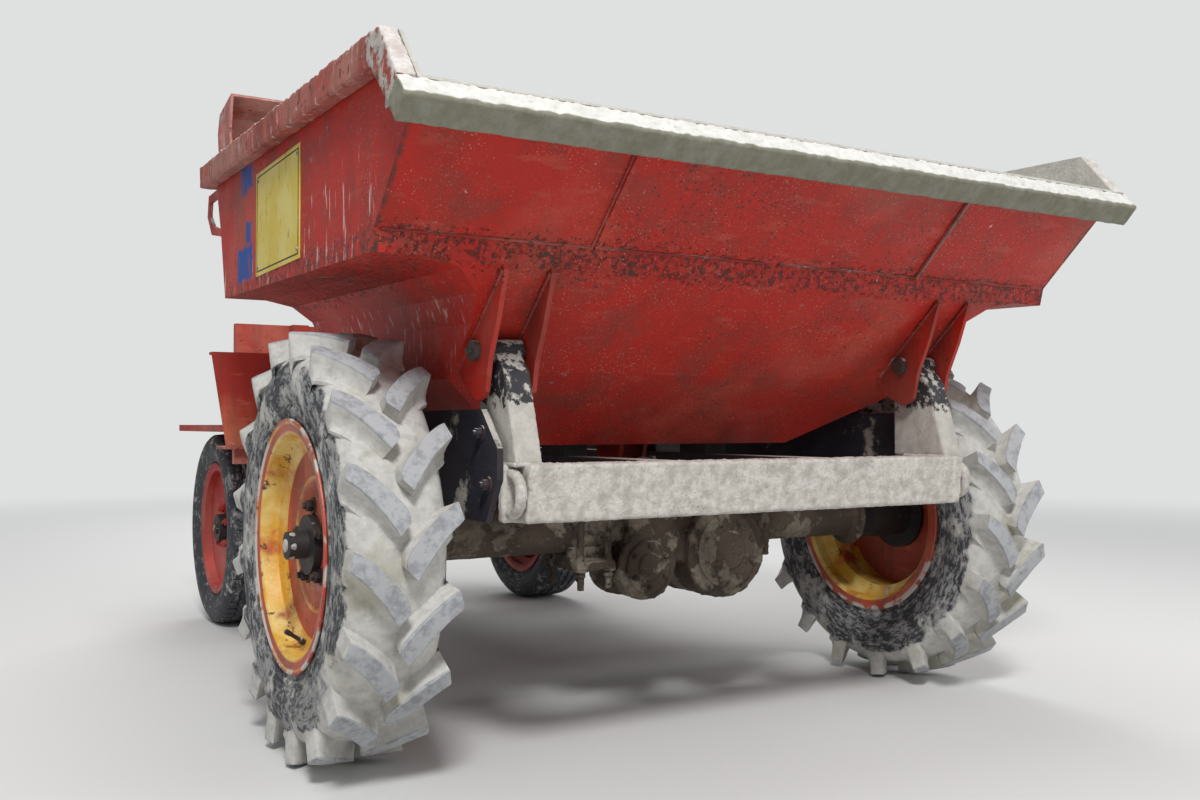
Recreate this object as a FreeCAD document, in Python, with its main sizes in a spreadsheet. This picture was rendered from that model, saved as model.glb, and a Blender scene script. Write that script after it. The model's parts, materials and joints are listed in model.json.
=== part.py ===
import FreeCAD, Part
import math
import os
import Sketcher

V = FreeCAD.Vector

# Site dumper: a front-tipping skip on a rear-steered chassis.
# Millimetres. +Z up, -Y is the machine's front (the skip's lip), +X its left.
# Origin: on the ground, in the middle of the whole machine's box.
# Heights are above the ground, and "fore" sizes are distances in front of the front axle,
# "aft" sizes distances behind it.

DOC = FreeCAD.newDocument("site_dumper")
SHEET = DOC.addObject("Spreadsheet::Sheet", "Sizes")

SIZES = {
    # wheels and axles
    "wheelbase": 1715,
    "front_tyre_radius": 429.5,
    "front_tyre_width": 212,
    "tyre_side_gap": 52,
    "front_flange_radius": 254,
    "front_rim_width": 192,
    "front_seat_radius": 229,
    "front_well_radius": 201,
    "front_disc_inset": 56,
    "rear_tyre_radius": 320,
    "rear_tyre_width": 184,
    "rear_wheel_offset": 575,
    "rear_flange_radius": 220,
    "rear_rim_width": 146,
    "rear_seat_radius": 203,
    "rear_well_radius": 180,
    "rear_disc_inset": 34,
    "lug_height": 36,
    "lug_root_drop": 78,
    "bead_rise": 4,
    "rim_plate": 8,
    "collar_width": 12,
    "collar_rise": 34,
    "front_hub_radius": 60,
    "rear_hub_radius": 46,
    "axle_tube_radius": 50,
    "stub_radius": 24,
    "front_hub_depth": 150,
    "axle_hub_gap": 6,
    "kingpin_offset": 430,
    "kingpin_radius": 22,
    "steer_arm": 130,
    "stub_spare": 30,
    "ball_radius": 10,
    "ball_rise": 6,
    "rear_beam_height": 90,
    "rear_beam_depth": 80,
    "rear_beam_end": 375,
    "fork_plate": 14,
    "fork_half_depth": 26,
    "beam_pivot_radius": 18,
    "hanger_plate": 15,
    "hanger_gap": 5,
    "hanger_half_width": 90,
    "hanger_drop": 45,
    "arm_half_width": 12,
    "tie_bar_radius": 10,
    "tie_eye_radius": 14,
    "tie_rise": 18,
    # final drive
    "housing_offset": 150,
    "housing_height": 372,
    "housing_radius": 112,
    "housing_half_depth": 95,
    "lobe_offset": 62,
    "lobe_height": 345,
    "lobe_radius": 78,
    "lobe_half_depth": 75,
    "bridge_low_x": 110,
    "bridge_high_x": 300,
    "bridge_half_depth": 70,
    "bridge_bottom": 350,
    "bridge_top": 478,
    "case_seat_half_width": 45,
    "case_seat_half_depth": 60,
    "shaft_height": 420,
    "nose_start": 60,
    "nose_end": 190,
    "nose_radius": 52,
    "clamp_half_width": 50,
    "saddle_half_depth": 62,
    "clamp_pad_half_depth": 78,
    "clamp_pad_bottom": 345,
    "clamp_pad_thickness": 18,
    "clamp_cradle_half_depth": 40,
    "clamp_bolt_offset": 36,
    "clamp_bolt_fore": 66,
    "clamp_bolt_bottom": 300,
    "clamp_bolt_radius": 8,
    "axle_flange_width": 14,
    "axle_flange_rise": 25,
    # chassis
    "rail_offset": 200,
    "rail_width": 60,
    "rail_bottom": 498,
    "rail_top": 598,
    "rear_overhang": 305,
    "rear_tube_half_width": 330,
    "axle_tube_half_depth": 70,
    "axle_tube_drop": 20,
    "plate_post_gap": 11.5,
    "plate_thickness": 12,
    "plate_knee_gap": 55,
    "plate_pin_drop": 110,
    "plate_bottom": 490,
    "plate_end_aft": 560,
    "plate_nose_fore": 400,
    "plate_foot_fore": 352,
    "plate_shoulder_fore": 330,
    "plate_step_aft": 100,
    "plate_top_end_aft": 300,
    "plate_step_drop": 60,
    "plate_nose_low": 28,
    "plate_nose_rise": 30,
    "beam_end_inset": 29,
    "beam_front_top_fore": 451,
    "beam_front_bottom_fore": 439,
    "beam_back_fore": 375,
    "beam_bottom": 491,
    "loop_radius": 36,
    "loop_bar_radius": 10.5,
    "loop_inset": 4,
    "loop_stem": 8,
    "beam_tie_depth": 25,
    "clevis_gap": 2,
    "clevis_plate": 12,
    "post_width": 55,
    "post_foot_fore": 430,
    "post_brow_fore": 378,
    "post_back_fore": 270,
    "post_tip_half_width": 20,
    "boss_side_gap": 4.5,
    "cross_tube_height": 40,
    "cross_tube_depth": 60,
    "plate_tube_aft": 480,
    "tank_tube_aft": 700,
    "foot_tube_ahead": 705,
    "ballast_half_width": 280,
    "ballast_bottom": 230,
    "ballast_thickness": 35,
    "guard_half_width": 500,
    "guard_bottom": 920,
    "guard_top": 1050,
    "guard_depth": 50,
    "jaw_reach": 65,
    "tow_pin_bore": 26,
    "tow_height": 400,
    "jaw_half_width": 45,
    "jaw_half_gap": 22,
    "jaw_plate": 16,
    "jaw_pin_back": 28,
    "guard_post_inner": 240,
    "guard_post_gap": 6,
    "guard_bar_depth": 40,
    "ballast_top_rise": 12,
    # skip
    "pin_fore": 318,
    "pin_height": 810,
    "pin_radius": 12.5,
    "boss_radius": 24,
    "ear_thickness": 10,
    "ear_setback": 20,
    "ear_spread": 97,
    "post_setback": 70,
    "pin_head_width": 12,
    "pin_head_rise": 7,
    "skip_wall": 8,
    "skip_half_width": 852,
    "skip_ledge": 102,
    "skip_arch_width": 130,
    "skip_floor_setback": 210,
    "skip_floor_height": 625,
    "skip_knee_height": 755,
    "skip_arch_height": 858,
    "skip_wing_height": 963,
    "skip_rim_front_height": 1304,
    "skip_rim_rear_height": 1342,
    "panel_top_fore": 608,
    "panel_top_height": 1161.5,
    "panel_fold_fore": 444,
    "panel_fold_height": 1002.5,
    "wing_start_fore": 434,
    "wing_start_drop": 3,
    "toe_fold_fore": 240,
    "toe_fold_height": 778,
    "floor_start_fore": 15,
    "floor_end_aft": 490,
    "back_fold_aft": 656,
    "back_fold_height": 989,
    "back_top_aft": 735,
    "back_top_height": 1250,
    "rim_rear_aft": 765,
    "rim_front_fore": 557,
    "rim_end_slope": 40,
    "rim_rear_slope": 30,
    "rib_offset": 415,
    "rib_width": 12,
    "rib_height": 10,
    "rib_length": 228,
    "rim_bar_out": 35,
    "rim_bar_height": 55,
    "lip_bar_length": 54,
    "lip_bar_out": 42,
    "spill_top": 1504,
    "spill_plate": 6,
    "spill_back_aft": 790,
    "spill_hood_aft": 640,
    "spill_knee_drop": 72,
    "spill_brow_drop": 24,
    "spill_brow_back": 20,
    "spill_end_fore": 140,
    "spill_end_rise": 70,
    "handle_start_aft": 700,
    "handle_reach": 130,
    "handle_top": 1280,
    "handle_depth": 130,
    "handle_bar": 21,
    "rest_clearance": 0.3,
    "rest_fore_aft": 20,
    "rest_rear_aft": 330,
    "rest_length": 110,
    "rod_cheek_gap": 6,
    "rod_cheek_plate": 12,
    "rod_cheek_half_foot": 60,
    # tipping cylinder
    "ram_base_fore": 330,
    "ram_base_height": 530,
    "ram_eye_aft": 140,
    "ram_eye_height": 560,
    "barrel_radius": 32,
    "barrel_bore": 22,
    "rod_radius": 17,
    "eye_radius": 26,
    "eye_width": 44,
    "ram_pin_radius": 12,
    "ram_pin_spare": 6,
    "rod_pin_spare": 5,
    "barrel_short": 88,
    "barrel_neck": 20,
    "barrel_collar_width": 22,
    "barrel_collar_rise": 5,
    "rod_start_gap": 34,
    "piston_length": 40,
    "ram_gap": 3,
    # operator's place
    "footboard_ahead": 550,
    "footboard_depth": 140,
    "footboard_half_width": 733,
    "toe_board_half_width": 776,
    "toe_board_top": 877,
    "sheet_plate": 8,
    "deck_height": 662,
    "deck_inner": 306,
    "deck_outer": 700,
    "deck_stay_outer": 330,
    "deck_flap": 14,
    "floor_rib_width": 30,
    "floor_rib_drop": 45,
    "floor_rib_inset": 30,
    "toe_fold_depth": 40,
    "seat_deck_height": 972,
    "seat_frame_half_width": 300,
    "seat_frame_ahead": 215,
    "seat_leg": 40,
    "seat_rear_gap": 20,
    "seat_foot_inset": 20,
    "cushion_rear_gap": 75,
    "cushion_back_gap": 15,
    "spine_half_width": 60,
    "spine_foot": 60,
    "spine_face": 32,
    "spine_short": 30,
    "spine_knee": 90,
    "back_lean": 12,
    "back_crown": 22,
    "seat_width": 460,
    "cushion_height": 90,
    "cushion_depth": 400,
    "back_height": 360,
    "back_thickness": 80,
    "column_gap": 70,
    "column_foot_height": 640,
    "column_lean": 24,
    "column_length": 560,
    "column_radius": 22,
    "wheel_ring_radius": 190,
    "wheel_ring_bar": 13,
    "wheel_hub_radius": 34,
    "wheel_hub_height": 40,
    "wheel_spoke_radius": 8,
    "wheel_spoke_drop": 12,
    "pedestal_half_width": 90,
    "pedestal_top": 800,
    "pedestal_gap": 2,
    "pedestal_rear": 60,
    "lever_radius": 8,
    "knob_radius": 18,
    "knob_height": 40,
    "tip_lever_offset": 190,
    "tip_lever_height": 480,
    "gear_lever_offset": 240,
    "gear_lever_height": 400,
    "clutch_offset": 170,
    "brake_offset": 260,
    "throttle_offset": 330,
    "pedal_half_width": 32,
    "pedal_plate": 10,
    "pedal_arm": 110,
    "pedal_low": 60,
    "pedal_top": 125,
    "control_place": 60,
    # power
    "engine_half_width": 160,
    "engine_ahead": 285,
    "engine_length": 430,
    "engine_height": 240,
    "sump_half_width": 140,
    "sump_depth": 100,
    "sump_rise": 20,
    "sump_short": 180,
    "foot_start": 130,
    "foot_width": 50,
    "foot_height": 20,
    "cylinder_fore": 110,
    "cylinder_aft": 300,
    "cylinder_radius": 52,
    "cylinder_height": 96,
    "fin_radius": 74,
    "fin_start": 10,
    "fin_pitch": 16,
    "fin_thickness": 5,
    "crank_rise": 110,
    "cowl_radius": 150,
    "cowl_length": 60,
    "cowl_eye_radius": 60,
    "cowl_eye_length": 30,
    "silencer_offset": 209,
    "silencer_height": 760,
    "silencer_radius": 45,
    "silencer_start": 30,
    "silencer_length": 300,
    "pipe_radius": 19,
    "pipe_reach": 160,
    "filter_offset": 222,
    "filter_place": 230,
    "filter_bottom": 690,
    "filter_top": 880,
    "filter_radius": 56,
    "filter_neck_height": 770,
    "filter_neck_radius": 24,
    "gearbox_half_width": 120,
    "gearbox_fore_edge": 760,
    "bell_length": 290,
    "gearbox_bottom": 390,
    "gearbox_drop": 10,
    "bell_drop": 110,
    "bell_radius": 105,
    "gearbox_ear_start": 150,
    "gearbox_ear_width": 40,
    "gearbox_ear_rise": 30,
    "shaft_radius": 28,
    "tank_inner": 250,
    "tank_outer": 560,
    "tank_fore_edge": 660,
    "tank_board_gap": 105,
    "tank_height": 190,
    "cap_radius": 32,
    "cap_height": 30,
    "cap_inset": 60,
    # running clearances
    "pin_clearance": 0.3,
    "seat_clearance": 0.3,
}


class Size:
    """A length with its value and the sheet formula it comes from."""

    def __init__(self, value, text=""):
        self.value = float(value)
        self.text = text or repr(self.value)

    def __add__(self, other):
        other = as_size(other)
        return Size(self.value + other.value, "(%s + %s)" % (self.text, other.text))

    def __sub__(self, other):
        other = as_size(other)
        return Size(self.value - other.value, "(%s - %s)" % (self.text, other.text))

    def __mul__(self, other):
        other = as_size(other)
        return Size(self.value * other.value, "%s * %s" % (self.text, other.text))

    def __truediv__(self, other):
        other = as_size(other)
        return Size(self.value / other.value, "%s / %s" % (self.text, other.text))

    def __neg__(self):
        return Size(-self.value, "(0 - %s)" % self.text)

    def __radd__(self, other):
        return as_size(other) + self

    def __rsub__(self, other):
        return as_size(other) - self

    def __rmul__(self, other):
        return as_size(other) * self


def as_size(number):
    return number if isinstance(number, Size) else Size(number)


class Sheet:
    """The sizes of the sheet, by name."""


S = Sheet()
for row, (alias, number) in enumerate(SIZES.items(), start=1):
    SHEET.set("A%d" % row, alias)
    SHEET.set("B%d" % row, str(number))
    SHEET.setAlias("B%d" % row, alias)
    setattr(S, alias, Size(number, "Sizes." + alias))
DOC.recompute()

NODES = []


def bind(thing, path, size):
    thing.setExpression(path, as_size(size).text)


def place(thing, x, y, z):
    for path, size in (("x", x), ("y", y), ("z", z)):
        bind(thing, "Placement.Base." + path, size)


def node(label, thing):
    """Name a finished sub-part; its label is its file's name."""
    thing.Label = label
    NODES.append(thing)
    return thing


def box(name, x, y, z):
    """A block between the low and high ends given for each axis."""
    block = DOC.addObject("Part::Box", name)
    for path, (low, high) in (("Length", x), ("Width", y), ("Height", z)):
        bind(block, path, as_size(high) - low)
    place(block, x[0], y[0], z[0])
    return block


TURN = {"x": V(0, 1, 0), "y": V(-1, 0, 0), "z": V(0, 0, 1)}


def rod(name, axis, centre, low, high, radius):
    """A round bar along one axis; centre holds its two other coordinates in order."""
    bar = DOC.addObject("Part::Cylinder", name)
    bind(bar, "Radius", radius)
    bind(bar, "Height", as_size(high) - low)
    angle = 0 if axis == "z" else 90
    bar.Placement = FreeCAD.Placement(V(), FreeCAD.Rotation(TURN[axis], angle))
    place(bar, *along(axis, centre, low))
    return bar


def along(axis, centre, reach):
    spot = list(centre)
    spot.insert("xyz".index(axis), reach)
    return spot


def fuse(name, *pieces):
    joined = DOC.addObject("Part::MultiFuse", name)
    joined.Shapes = list(pieces)
    return joined


def cut(name, base, *tools):
    tool = tools[0] if len(tools) == 1 else fuse(name + "_tools", *tools)
    rest = DOC.addObject("Part::Cut", name)
    rest.Base = base
    rest.Tool = tool
    return rest


def group(name, *pieces):
    """Solids of one node that stay apart."""
    bunch = DOC.addObject("Part::Compound", name)
    bunch.Links = list(pieces)
    return bunch


def outline(body, name, plane, points):
    """A closed outline of straight lines, each corner held by the sheet."""
    sketch = body.newObject("Sketcher::SketchObject", name)
    base = [item for item in body.Origin.OriginFeatures if item.Role == plane][0]
    sketch.AttachmentSupport = [(base, "")]
    sketch.MapMode = "FlatFace"
    corners = [(as_size(u), as_size(v)) for u, v in points]
    spots = [V(u.value, v.value, 0) for u, v in corners]
    count = len(spots)
    for index in range(count):
        sketch.addGeometry(Part.LineSegment(spots[index], spots[(index + 1) % count]))
    for index in range(count):
        sketch.addConstraint(Sketcher.Constraint("Coincident", index, 2, (index + 1) % count, 1))
    for index, (u, v) in enumerate(corners):
        for kind, size in (("DistanceX", u), ("DistanceY", v)):
            mark = sketch.addConstraint(Sketcher.Constraint(kind, -1, 1, index, 1, size.value))
            sketch.setExpression("Constraints[%d]" % mark, size.text)
    return sketch


def prism(name, axis, points, low, high):
    """A straight-sided outline padded along one axis, from its low end to its high end."""
    body = DOC.addObject("PartDesign::Body", name)
    plane = {"x": "YZ_Plane", "y": "XZ_Plane", "z": "XY_Plane"}[axis]
    sketch = outline(body, name + "_outline", plane, points)
    start = -as_size(high) if axis == "y" else as_size(low)
    bind(sketch, "AttachmentOffset.Base.z", start)
    pad = body.newObject("PartDesign::Pad", name + "_pad")
    pad.Profile = sketch
    bind(pad, "Length", as_size(high) - low)
    sketch.Visibility = False
    return body


def lathe(name, points, centre):
    """A ring turned about its own X axis from points of (across, radius)."""
    body = DOC.addObject("PartDesign::Body", name)
    sketch = outline(body, name + "_outline", "XZ_Plane", points)
    turned = body.newObject("PartDesign::Revolution", name + "_turned")
    turned.Profile = sketch
    turned.ReferenceAxis = (sketch, ["H_Axis"])
    turned.Angle = 360
    place(body, *centre)
    return body


def leaned(thing, pivot, angle):
    """Lean a piece that is built upright about X, at its foot."""
    thing.Placement = FreeCAD.Placement(V(), FreeCAD.Rotation(V(1, 0, 0), -angle))
    place(thing, *pivot)
    return thing


def sides():
    """The two sides of the machine: label and sign of X."""
    return (("left", 1), ("right", -1))


def span(sign, inner, outer):
    """The low and high X of a piece that lies between two distances on one side."""
    if sign > 0:
        return as_size(inner), as_size(outer)
    return -as_size(outer), -as_size(inner)


def solid_feature(name, shape):
    feature = DOC.addObject("Part::Feature", name)
    feature.Shape = shape
    feature.Placement = FreeCAD.Placement()
    return feature


# Places along the machine
LIP_RISE = 44
WING_RISE = 1.32
# part of the sloping sides' height by which they run on below the floor
FLOOR_SPARE = 0.46
LIP_COS = math.cos(math.radians(LIP_RISE))
LIP_SIN = math.sin(math.radians(LIP_RISE))
LIP_FRONT_FORE = S.panel_top_fore + S.lip_bar_length * LIP_COS + S.lip_bar_out * LIP_SIN
RAIL_END_AFT = S.wheelbase + S.rear_overhang
REAR_AFT = RAIL_END_AFT + S.guard_depth + S.ballast_thickness + S.jaw_reach
FRONT = (LIP_FRONT_FORE - REAR_AFT) / 2
REAR = FRONT + S.wheelbase
FRONT_Z = S.front_tyre_radius
REAR_Z = S.rear_tyre_radius
SKIP_STEP = S.skip_half_width - S.skip_ledge
SKIP_WAIST = SKIP_STEP - S.skip_arch_width
EAR_OUTER = SKIP_WAIST - S.ear_setback
EAR_INNER = EAR_OUTER - S.ear_spread
POST_OFFSET = SKIP_WAIST - S.post_setback
PLATE_OFFSET = POST_OFFSET + S.post_width / 2 + S.plate_post_gap
PLATE_TOP = S.skip_knee_height - S.plate_knee_gap
FRONT_WHEEL_OFFSET = SKIP_WAIST + S.tyre_side_gap + S.front_tyre_width / 2
FRONT_HUB_INNER = FRONT_WHEEL_OFFSET - S.front_hub_depth
FOOTBOARD_START = REAR - S.footboard_ahead
FOOTBOARD_END = FOOTBOARD_START + S.footboard_depth
COLUMN_FOOT = FOOTBOARD_START + S.column_gap
ENGINE_START = REAR - S.engine_ahead


def fore(distance):
    return FRONT - distance


def aft(distance):
    return FRONT + distance


def tyre_outline(place_name, width, radius, rim_width, seat, flange):
    """Half a tyre's section, bead to tread, as (across, height) in numbers."""
    half = width.value / 2
    bead = rim_width.value / 2 - S.rim_plate.value - S.seat_clearance.value
    foot = flange.value + S.bead_rise.value
    crown = radius.value
    if place_name == "front":
        crown = crown - S.lug_height.value
    rise = crown - foot
    outer = [(bead, foot), (half, foot + rise * 0.4), (half * 0.97, foot + rise * 0.7),
             (half * 0.87, foot + rise * 0.89), (half * 0.57, crown)]
    return outer, (bead, seat.value + S.seat_clearance.value)


def turned_spot(across, height, angle):
    """A point of a wheel about the X axis; height is its distance from the axis."""
    return V(across, height * math.cos(angle), height * math.sin(angle))


def faceted_ring(outer, bead, count):
    """A ring of flat facets from half a section; a corner stands at the bottom."""
    grown = bead[1] / math.cos(math.pi / count)
    section = outer + [(-x, r) for x, r in reversed(outer)] + [(-bead[0], grown), (bead[0], grown)]
    faces = []
    for step in range(count):
        here = 2 * math.pi * step / count - math.pi / 2
        there = 2 * math.pi * (step + 1) / count - math.pi / 2
        for k in range(len(section)):
            one = section[k - 1]
            two = section[k]
            corners = [turned_spot(*one, here), turned_spot(*two, here), turned_spot(*two, there),
                       turned_spot(*one, there)]
            faces.append(Part.Face(Part.makePolygon(corners + corners[:1])))
    ring = Part.Solid(Part.Shell(faces))
    if ring.Volume < 0:
        ring.reverse()
    return ring


# A lug's footprint: outwards as a part of the half width, along the tread as a part of the radius.
LUG_FOOT = ((0, 0.07), (0.13, 0.163), (0.98, -0.051), (0.98, -0.177))
LUG_WIDEST = 0.177
LUGS_A_SIDE = 17
FRONT_FACETS = 34
REAR_FACETS = 36


def make_lug(sign, angle, half, radius):
    """One tread bar, from under the carcass out to the tyre's radius."""
    out = turned_spot(0, 1, angle)
    onward = turned_spot(0, 1, angle + math.pi / 2)
    top = radius * math.sqrt(1 - LUG_WIDEST ** 2)
    root = radius - S.lug_root_drop.value
    corners = [V(x * sign * half, 0, 0) + onward * (s * radius) + out * root for x, s in LUG_FOOT]
    return Part.Face(Part.makePolygon(corners + corners[:1])).extrude(out * (top - root))


def make_tyre(place_name, side, centre, width, radius, rim_width, seat, flange):
    """A tyre; the front ones carry two staggered rows of lugs whose V points down in front."""
    outer, bead = tyre_outline(place_name, width, radius, rim_width, seat, flange)
    if place_name == "front":
        shape = faceted_ring(outer, bead, FRONT_FACETS)
        first = math.asin(LUG_WIDEST) - math.pi / 2
        turn = 2 * math.pi / LUGS_A_SIDE
        half = width.value / 2
        lugs = [
            make_lug(sign, first + turn * (k + stagger), half, radius.value)
            for sign, stagger in ((1, 0), (-1, 0.5)) for k in range(LUGS_A_SIDE)
        ]
        shape = shape.multiFuse(lugs).removeSplitter()
    else:
        shape = faceted_ring(outer, bead, REAR_FACETS)
    name = "%s_tyre_%s" % (place_name, side)
    tyre = solid_feature(name, shape)
    tyre.Placement = FreeCAD.Placement(V(*[as_size(c).value for c in centre]),
                                       FreeCAD.Rotation())
    node(name, tyre)


def rim_points(sign, rim_width, seat, flange, well, inset, hub):
    """A drop-centre rim and its disc, as one turned section."""
    half = rim_width / 2
    plate = S.rim_plate
    face = half - inset
    bore = hub + S.pin_clearance
    points = [
        (-half, flange),
        (-half + plate, flange),
        (-half + plate, seat),
        (-half * 0.55, seat),
        (-half * 0.42, well),
        (half * 0.3, well),
        (half * 0.5, seat),
        (half - plate, seat),
        (half - plate, flange),
        (half, flange),
        (half, seat),
        (half - plate, seat - plate),
        (half * 0.56, seat - plate),
        (face, well - plate),
        (face, bore),
        (face - plate, bore),
        (face - plate, well - plate),
        (-half * 0.46, well - plate),
        (-half * 0.62, seat - plate),
        (-half + plate, seat - plate),
        (-half, seat),
    ]
    if sign > 0:
        return points
    return [(-across, height) for across, height in points]


def make_wheel(place_name, side, sign):
    """Tyre, rim and hub of one wheel, on the axle's centre line."""
    front = place_name == "front"
    width = S.front_tyre_width if front else S.rear_tyre_width
    radius = S.front_tyre_radius if front else S.rear_tyre_radius
    rim_width = S.front_rim_width if front else S.rear_rim_width
    seat = S.front_seat_radius if front else S.rear_seat_radius
    flange = S.front_flange_radius if front else S.rear_flange_radius
    well = S.front_well_radius if front else S.rear_well_radius
    inset = S.front_disc_inset if front else S.rear_disc_inset
    hub = S.front_hub_radius if front else S.rear_hub_radius
    offset = FRONT_WHEEL_OFFSET if front else S.rear_wheel_offset
    hub_inner = FRONT_HUB_INNER if front else S.rear_wheel_offset - S.rear_rim_width / 2
    centre = (offset * sign, FRONT if front else REAR, radius)
    make_tyre(place_name, side, centre, width, radius, rim_width, seat, flange)
    name = "%s_rim_%s" % (place_name, side)
    points = rim_points(sign, rim_width, seat, flange, well, inset, hub)
    node(name, lathe(name, points, centre))
    make_hub(place_name, side, sign, centre, offset, rim_width, inset, hub, hub_inner)


# How far a drum stands out of its disc, as a share of the way to the nut's end.
DRUM_REACH = {"front": 0.3, "rear": 0.8}
NUT_SHARE = 0.46


def make_hub(place_name, side, sign, centre, offset, rim_width, inset, hub, hub_inner):
    """A drum that carries the rim's disc, bored for the stub, with its nut outside."""
    name = "%s_hub_%s" % (place_name, side)
    middle = centre[1:]
    disc_face = offset + rim_width / 2 - inset
    nut_end = offset + rim_width / 2
    drum_end = disc_face + (nut_end - disc_face) * DRUM_REACH[place_name]
    drum = rod(name + "_drum", "x", middle, *span(sign, hub_inner, drum_end), hub)
    collar_end = disc_face - S.rim_plate - S.seat_clearance
    collar_start = collar_end - S.collar_width
    collar = rod(name + "_collar", "x", middle, *span(sign, collar_start, collar_end),
                 hub + S.collar_rise)
    nut = rod(name + "_nut", "x", middle, *span(sign, drum_end, nut_end), hub * NUT_SHARE)
    bore = rod(name + "_bore", "x", middle, *span(sign, hub_inner, disc_face),
               S.stub_radius + S.pin_clearance)
    node(name, cut(name, fuse(name + "_turned", drum, collar, nut), bore))


def make_front_axle():
    """The front axle tube and the stubs that its hubs turn on."""
    centre = (FRONT, FRONT_Z)
    end = FRONT_HUB_INNER - S.axle_hub_gap
    casing = rod("axle_casing", "x", centre, -end, end, S.axle_tube_radius)
    reach = FRONT_WHEEL_OFFSET
    stub = rod("axle_stub", "x", centre, -reach, reach, S.stub_radius)
    flanges = [
        rod("axle_flange_" + side, "x", centre, *span(sign, end - S.axle_flange_width, end),
            S.axle_tube_radius + S.axle_flange_rise)
        for side, sign in sides()
    ]
    node("front_axle", fuse("front_axle", casing, stub, *flanges))


def make_gear_case():
    """The axle's gear case: a round final-drive housing and a lobe, bored for the tube."""
    round_housing = rod("case_round", "y", (S.housing_offset, S.housing_height),
                        FRONT - S.housing_half_depth, FRONT + S.housing_half_depth,
                        S.housing_radius)
    lobe = rod("case_lobe", "y", (-S.lobe_offset, S.lobe_height), FRONT - S.lobe_half_depth,
               FRONT + S.lobe_half_depth, S.lobe_radius)
    depth = S.bridge_half_depth
    bridge = box("case_bridge", (-S.bridge_low_x, S.bridge_high_x), (FRONT - depth, FRONT + depth),
                 (S.bridge_bottom, S.bridge_top))
    half = S.case_seat_half_width
    depth = S.case_seat_half_depth
    seat = box("case_seat", (S.rail_offset - half, S.rail_offset + half),
               (FRONT - depth, FRONT + depth), (FRONT_Z, S.rail_bottom))
    nose = rod("case_nose", "y", (0, S.shaft_height), FRONT + S.nose_start, FRONT + S.nose_end,
               S.nose_radius)
    bore = rod("case_bore", "x", (FRONT, FRONT_Z), -S.rail_offset, 2 * S.rail_offset,
               S.axle_tube_radius + S.pin_clearance)
    body = fuse("case_body", round_housing, lobe, bridge, seat, nose)
    node("gear_case", cut("gear_case", body, bore))


def make_axle_clamp():
    """A saddle block and U-bolts that hold the axle tube to the right rail."""
    middle = -S.rail_offset
    half = S.clamp_half_width
    deep = S.saddle_half_depth
    saddle = box("clamp_saddle", (middle - half, middle + half), (FRONT - deep, FRONT + deep),
                 (FRONT_Z, S.rail_bottom))
    deep = S.clamp_pad_half_depth
    pad_top = S.clamp_pad_bottom + S.clamp_pad_thickness
    pad = box("clamp_pad", (middle - half, middle + half), (FRONT - deep, FRONT + deep),
              (S.clamp_pad_bottom, pad_top))
    bolts = []
    for across, x in (("outer", middle - S.clamp_bolt_offset),
                      ("inner", middle + S.clamp_bolt_offset)):
        for along_name, y in (("fore", FRONT - S.clamp_bolt_fore),
                              ("aft", FRONT + S.clamp_bolt_fore)):
            bolts.append(rod("clamp_bolt_%s_%s" % (across, along_name), "z", (x, y),
                             S.clamp_bolt_bottom, S.rail_bottom, S.clamp_bolt_radius))
    deep = S.clamp_cradle_half_depth
    cradle = box("clamp_cradle", (middle - half, middle + half), (FRONT - deep, FRONT + deep),
                 (pad_top, FRONT_Z))
    bore = rod("clamp_bore", "x", (FRONT, FRONT_Z), middle - half, middle + half,
               S.axle_tube_radius + S.pin_clearance)
    node("axle_clamp", cut("axle_clamp", fuse("clamp_body", saddle, pad, cradle, *bolts), bore))


def make_chassis_frame():
    """Two rails with cross tubes below them, and the hanger of the rear axle."""
    half = S.rail_width / 2
    start = fore(S.beam_back_fore)
    rails = [
        box("rail_" + side, span(sign, S.rail_offset - half, S.rail_offset + half),
            (start, aft(RAIL_END_AFT)), (S.rail_bottom, S.rail_top))
        for side, sign in sides()
    ]
    tubes = []
    depth = S.cross_tube_depth / 2
    level = (S.rail_bottom - S.cross_tube_height, S.rail_bottom)
    reach = PLATE_OFFSET
    for name, middle in (("plate", aft(S.plate_tube_aft)), ("tank", aft(S.tank_tube_aft))):
        tubes.append(box("cross_tube_" + name, (-reach, reach), (middle - depth, middle + depth),
                         level))
    middle = REAR - S.foot_tube_ahead
    for side, sign in sides():
        tubes.append(box("outrigger_" + side, span(sign, S.rail_offset - half, reach),
                         (middle - depth, middle + depth), level))
    wide = S.rear_tube_half_width
    tubes.append(box("cross_tube_rear", (-wide, wide),
                     (aft(RAIL_END_AFT), aft(RAIL_END_AFT) + S.guard_depth),
                     (S.rail_bottom, S.rail_top)))
    depth = S.axle_tube_half_depth
    tubes.append(box("cross_tube_axle", (-S.rail_offset - half, S.rail_offset + half),
                     (REAR - depth, REAR + depth),
                     (S.rail_bottom - S.axle_tube_drop, S.rail_bottom)))
    gap = S.rear_beam_depth / 2 + S.hanger_gap
    plate = S.hanger_plate
    hangers = [
        box("axle_hanger_" + name, (-S.hanger_half_width, S.hanger_half_width),
            (low, low + plate), (REAR_Z - S.hanger_drop, S.rail_bottom))
        for name, low in (("fore", REAR - gap - plate), ("aft", REAR + gap))
    ]
    pin = rod("axle_pivot_pin", "y", (0, REAR_Z), REAR - gap - plate, REAR + gap + plate,
              S.beam_pivot_radius)
    node("chassis_frame", fuse("chassis_frame", *rails, *tubes, *hangers, pin))


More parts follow.
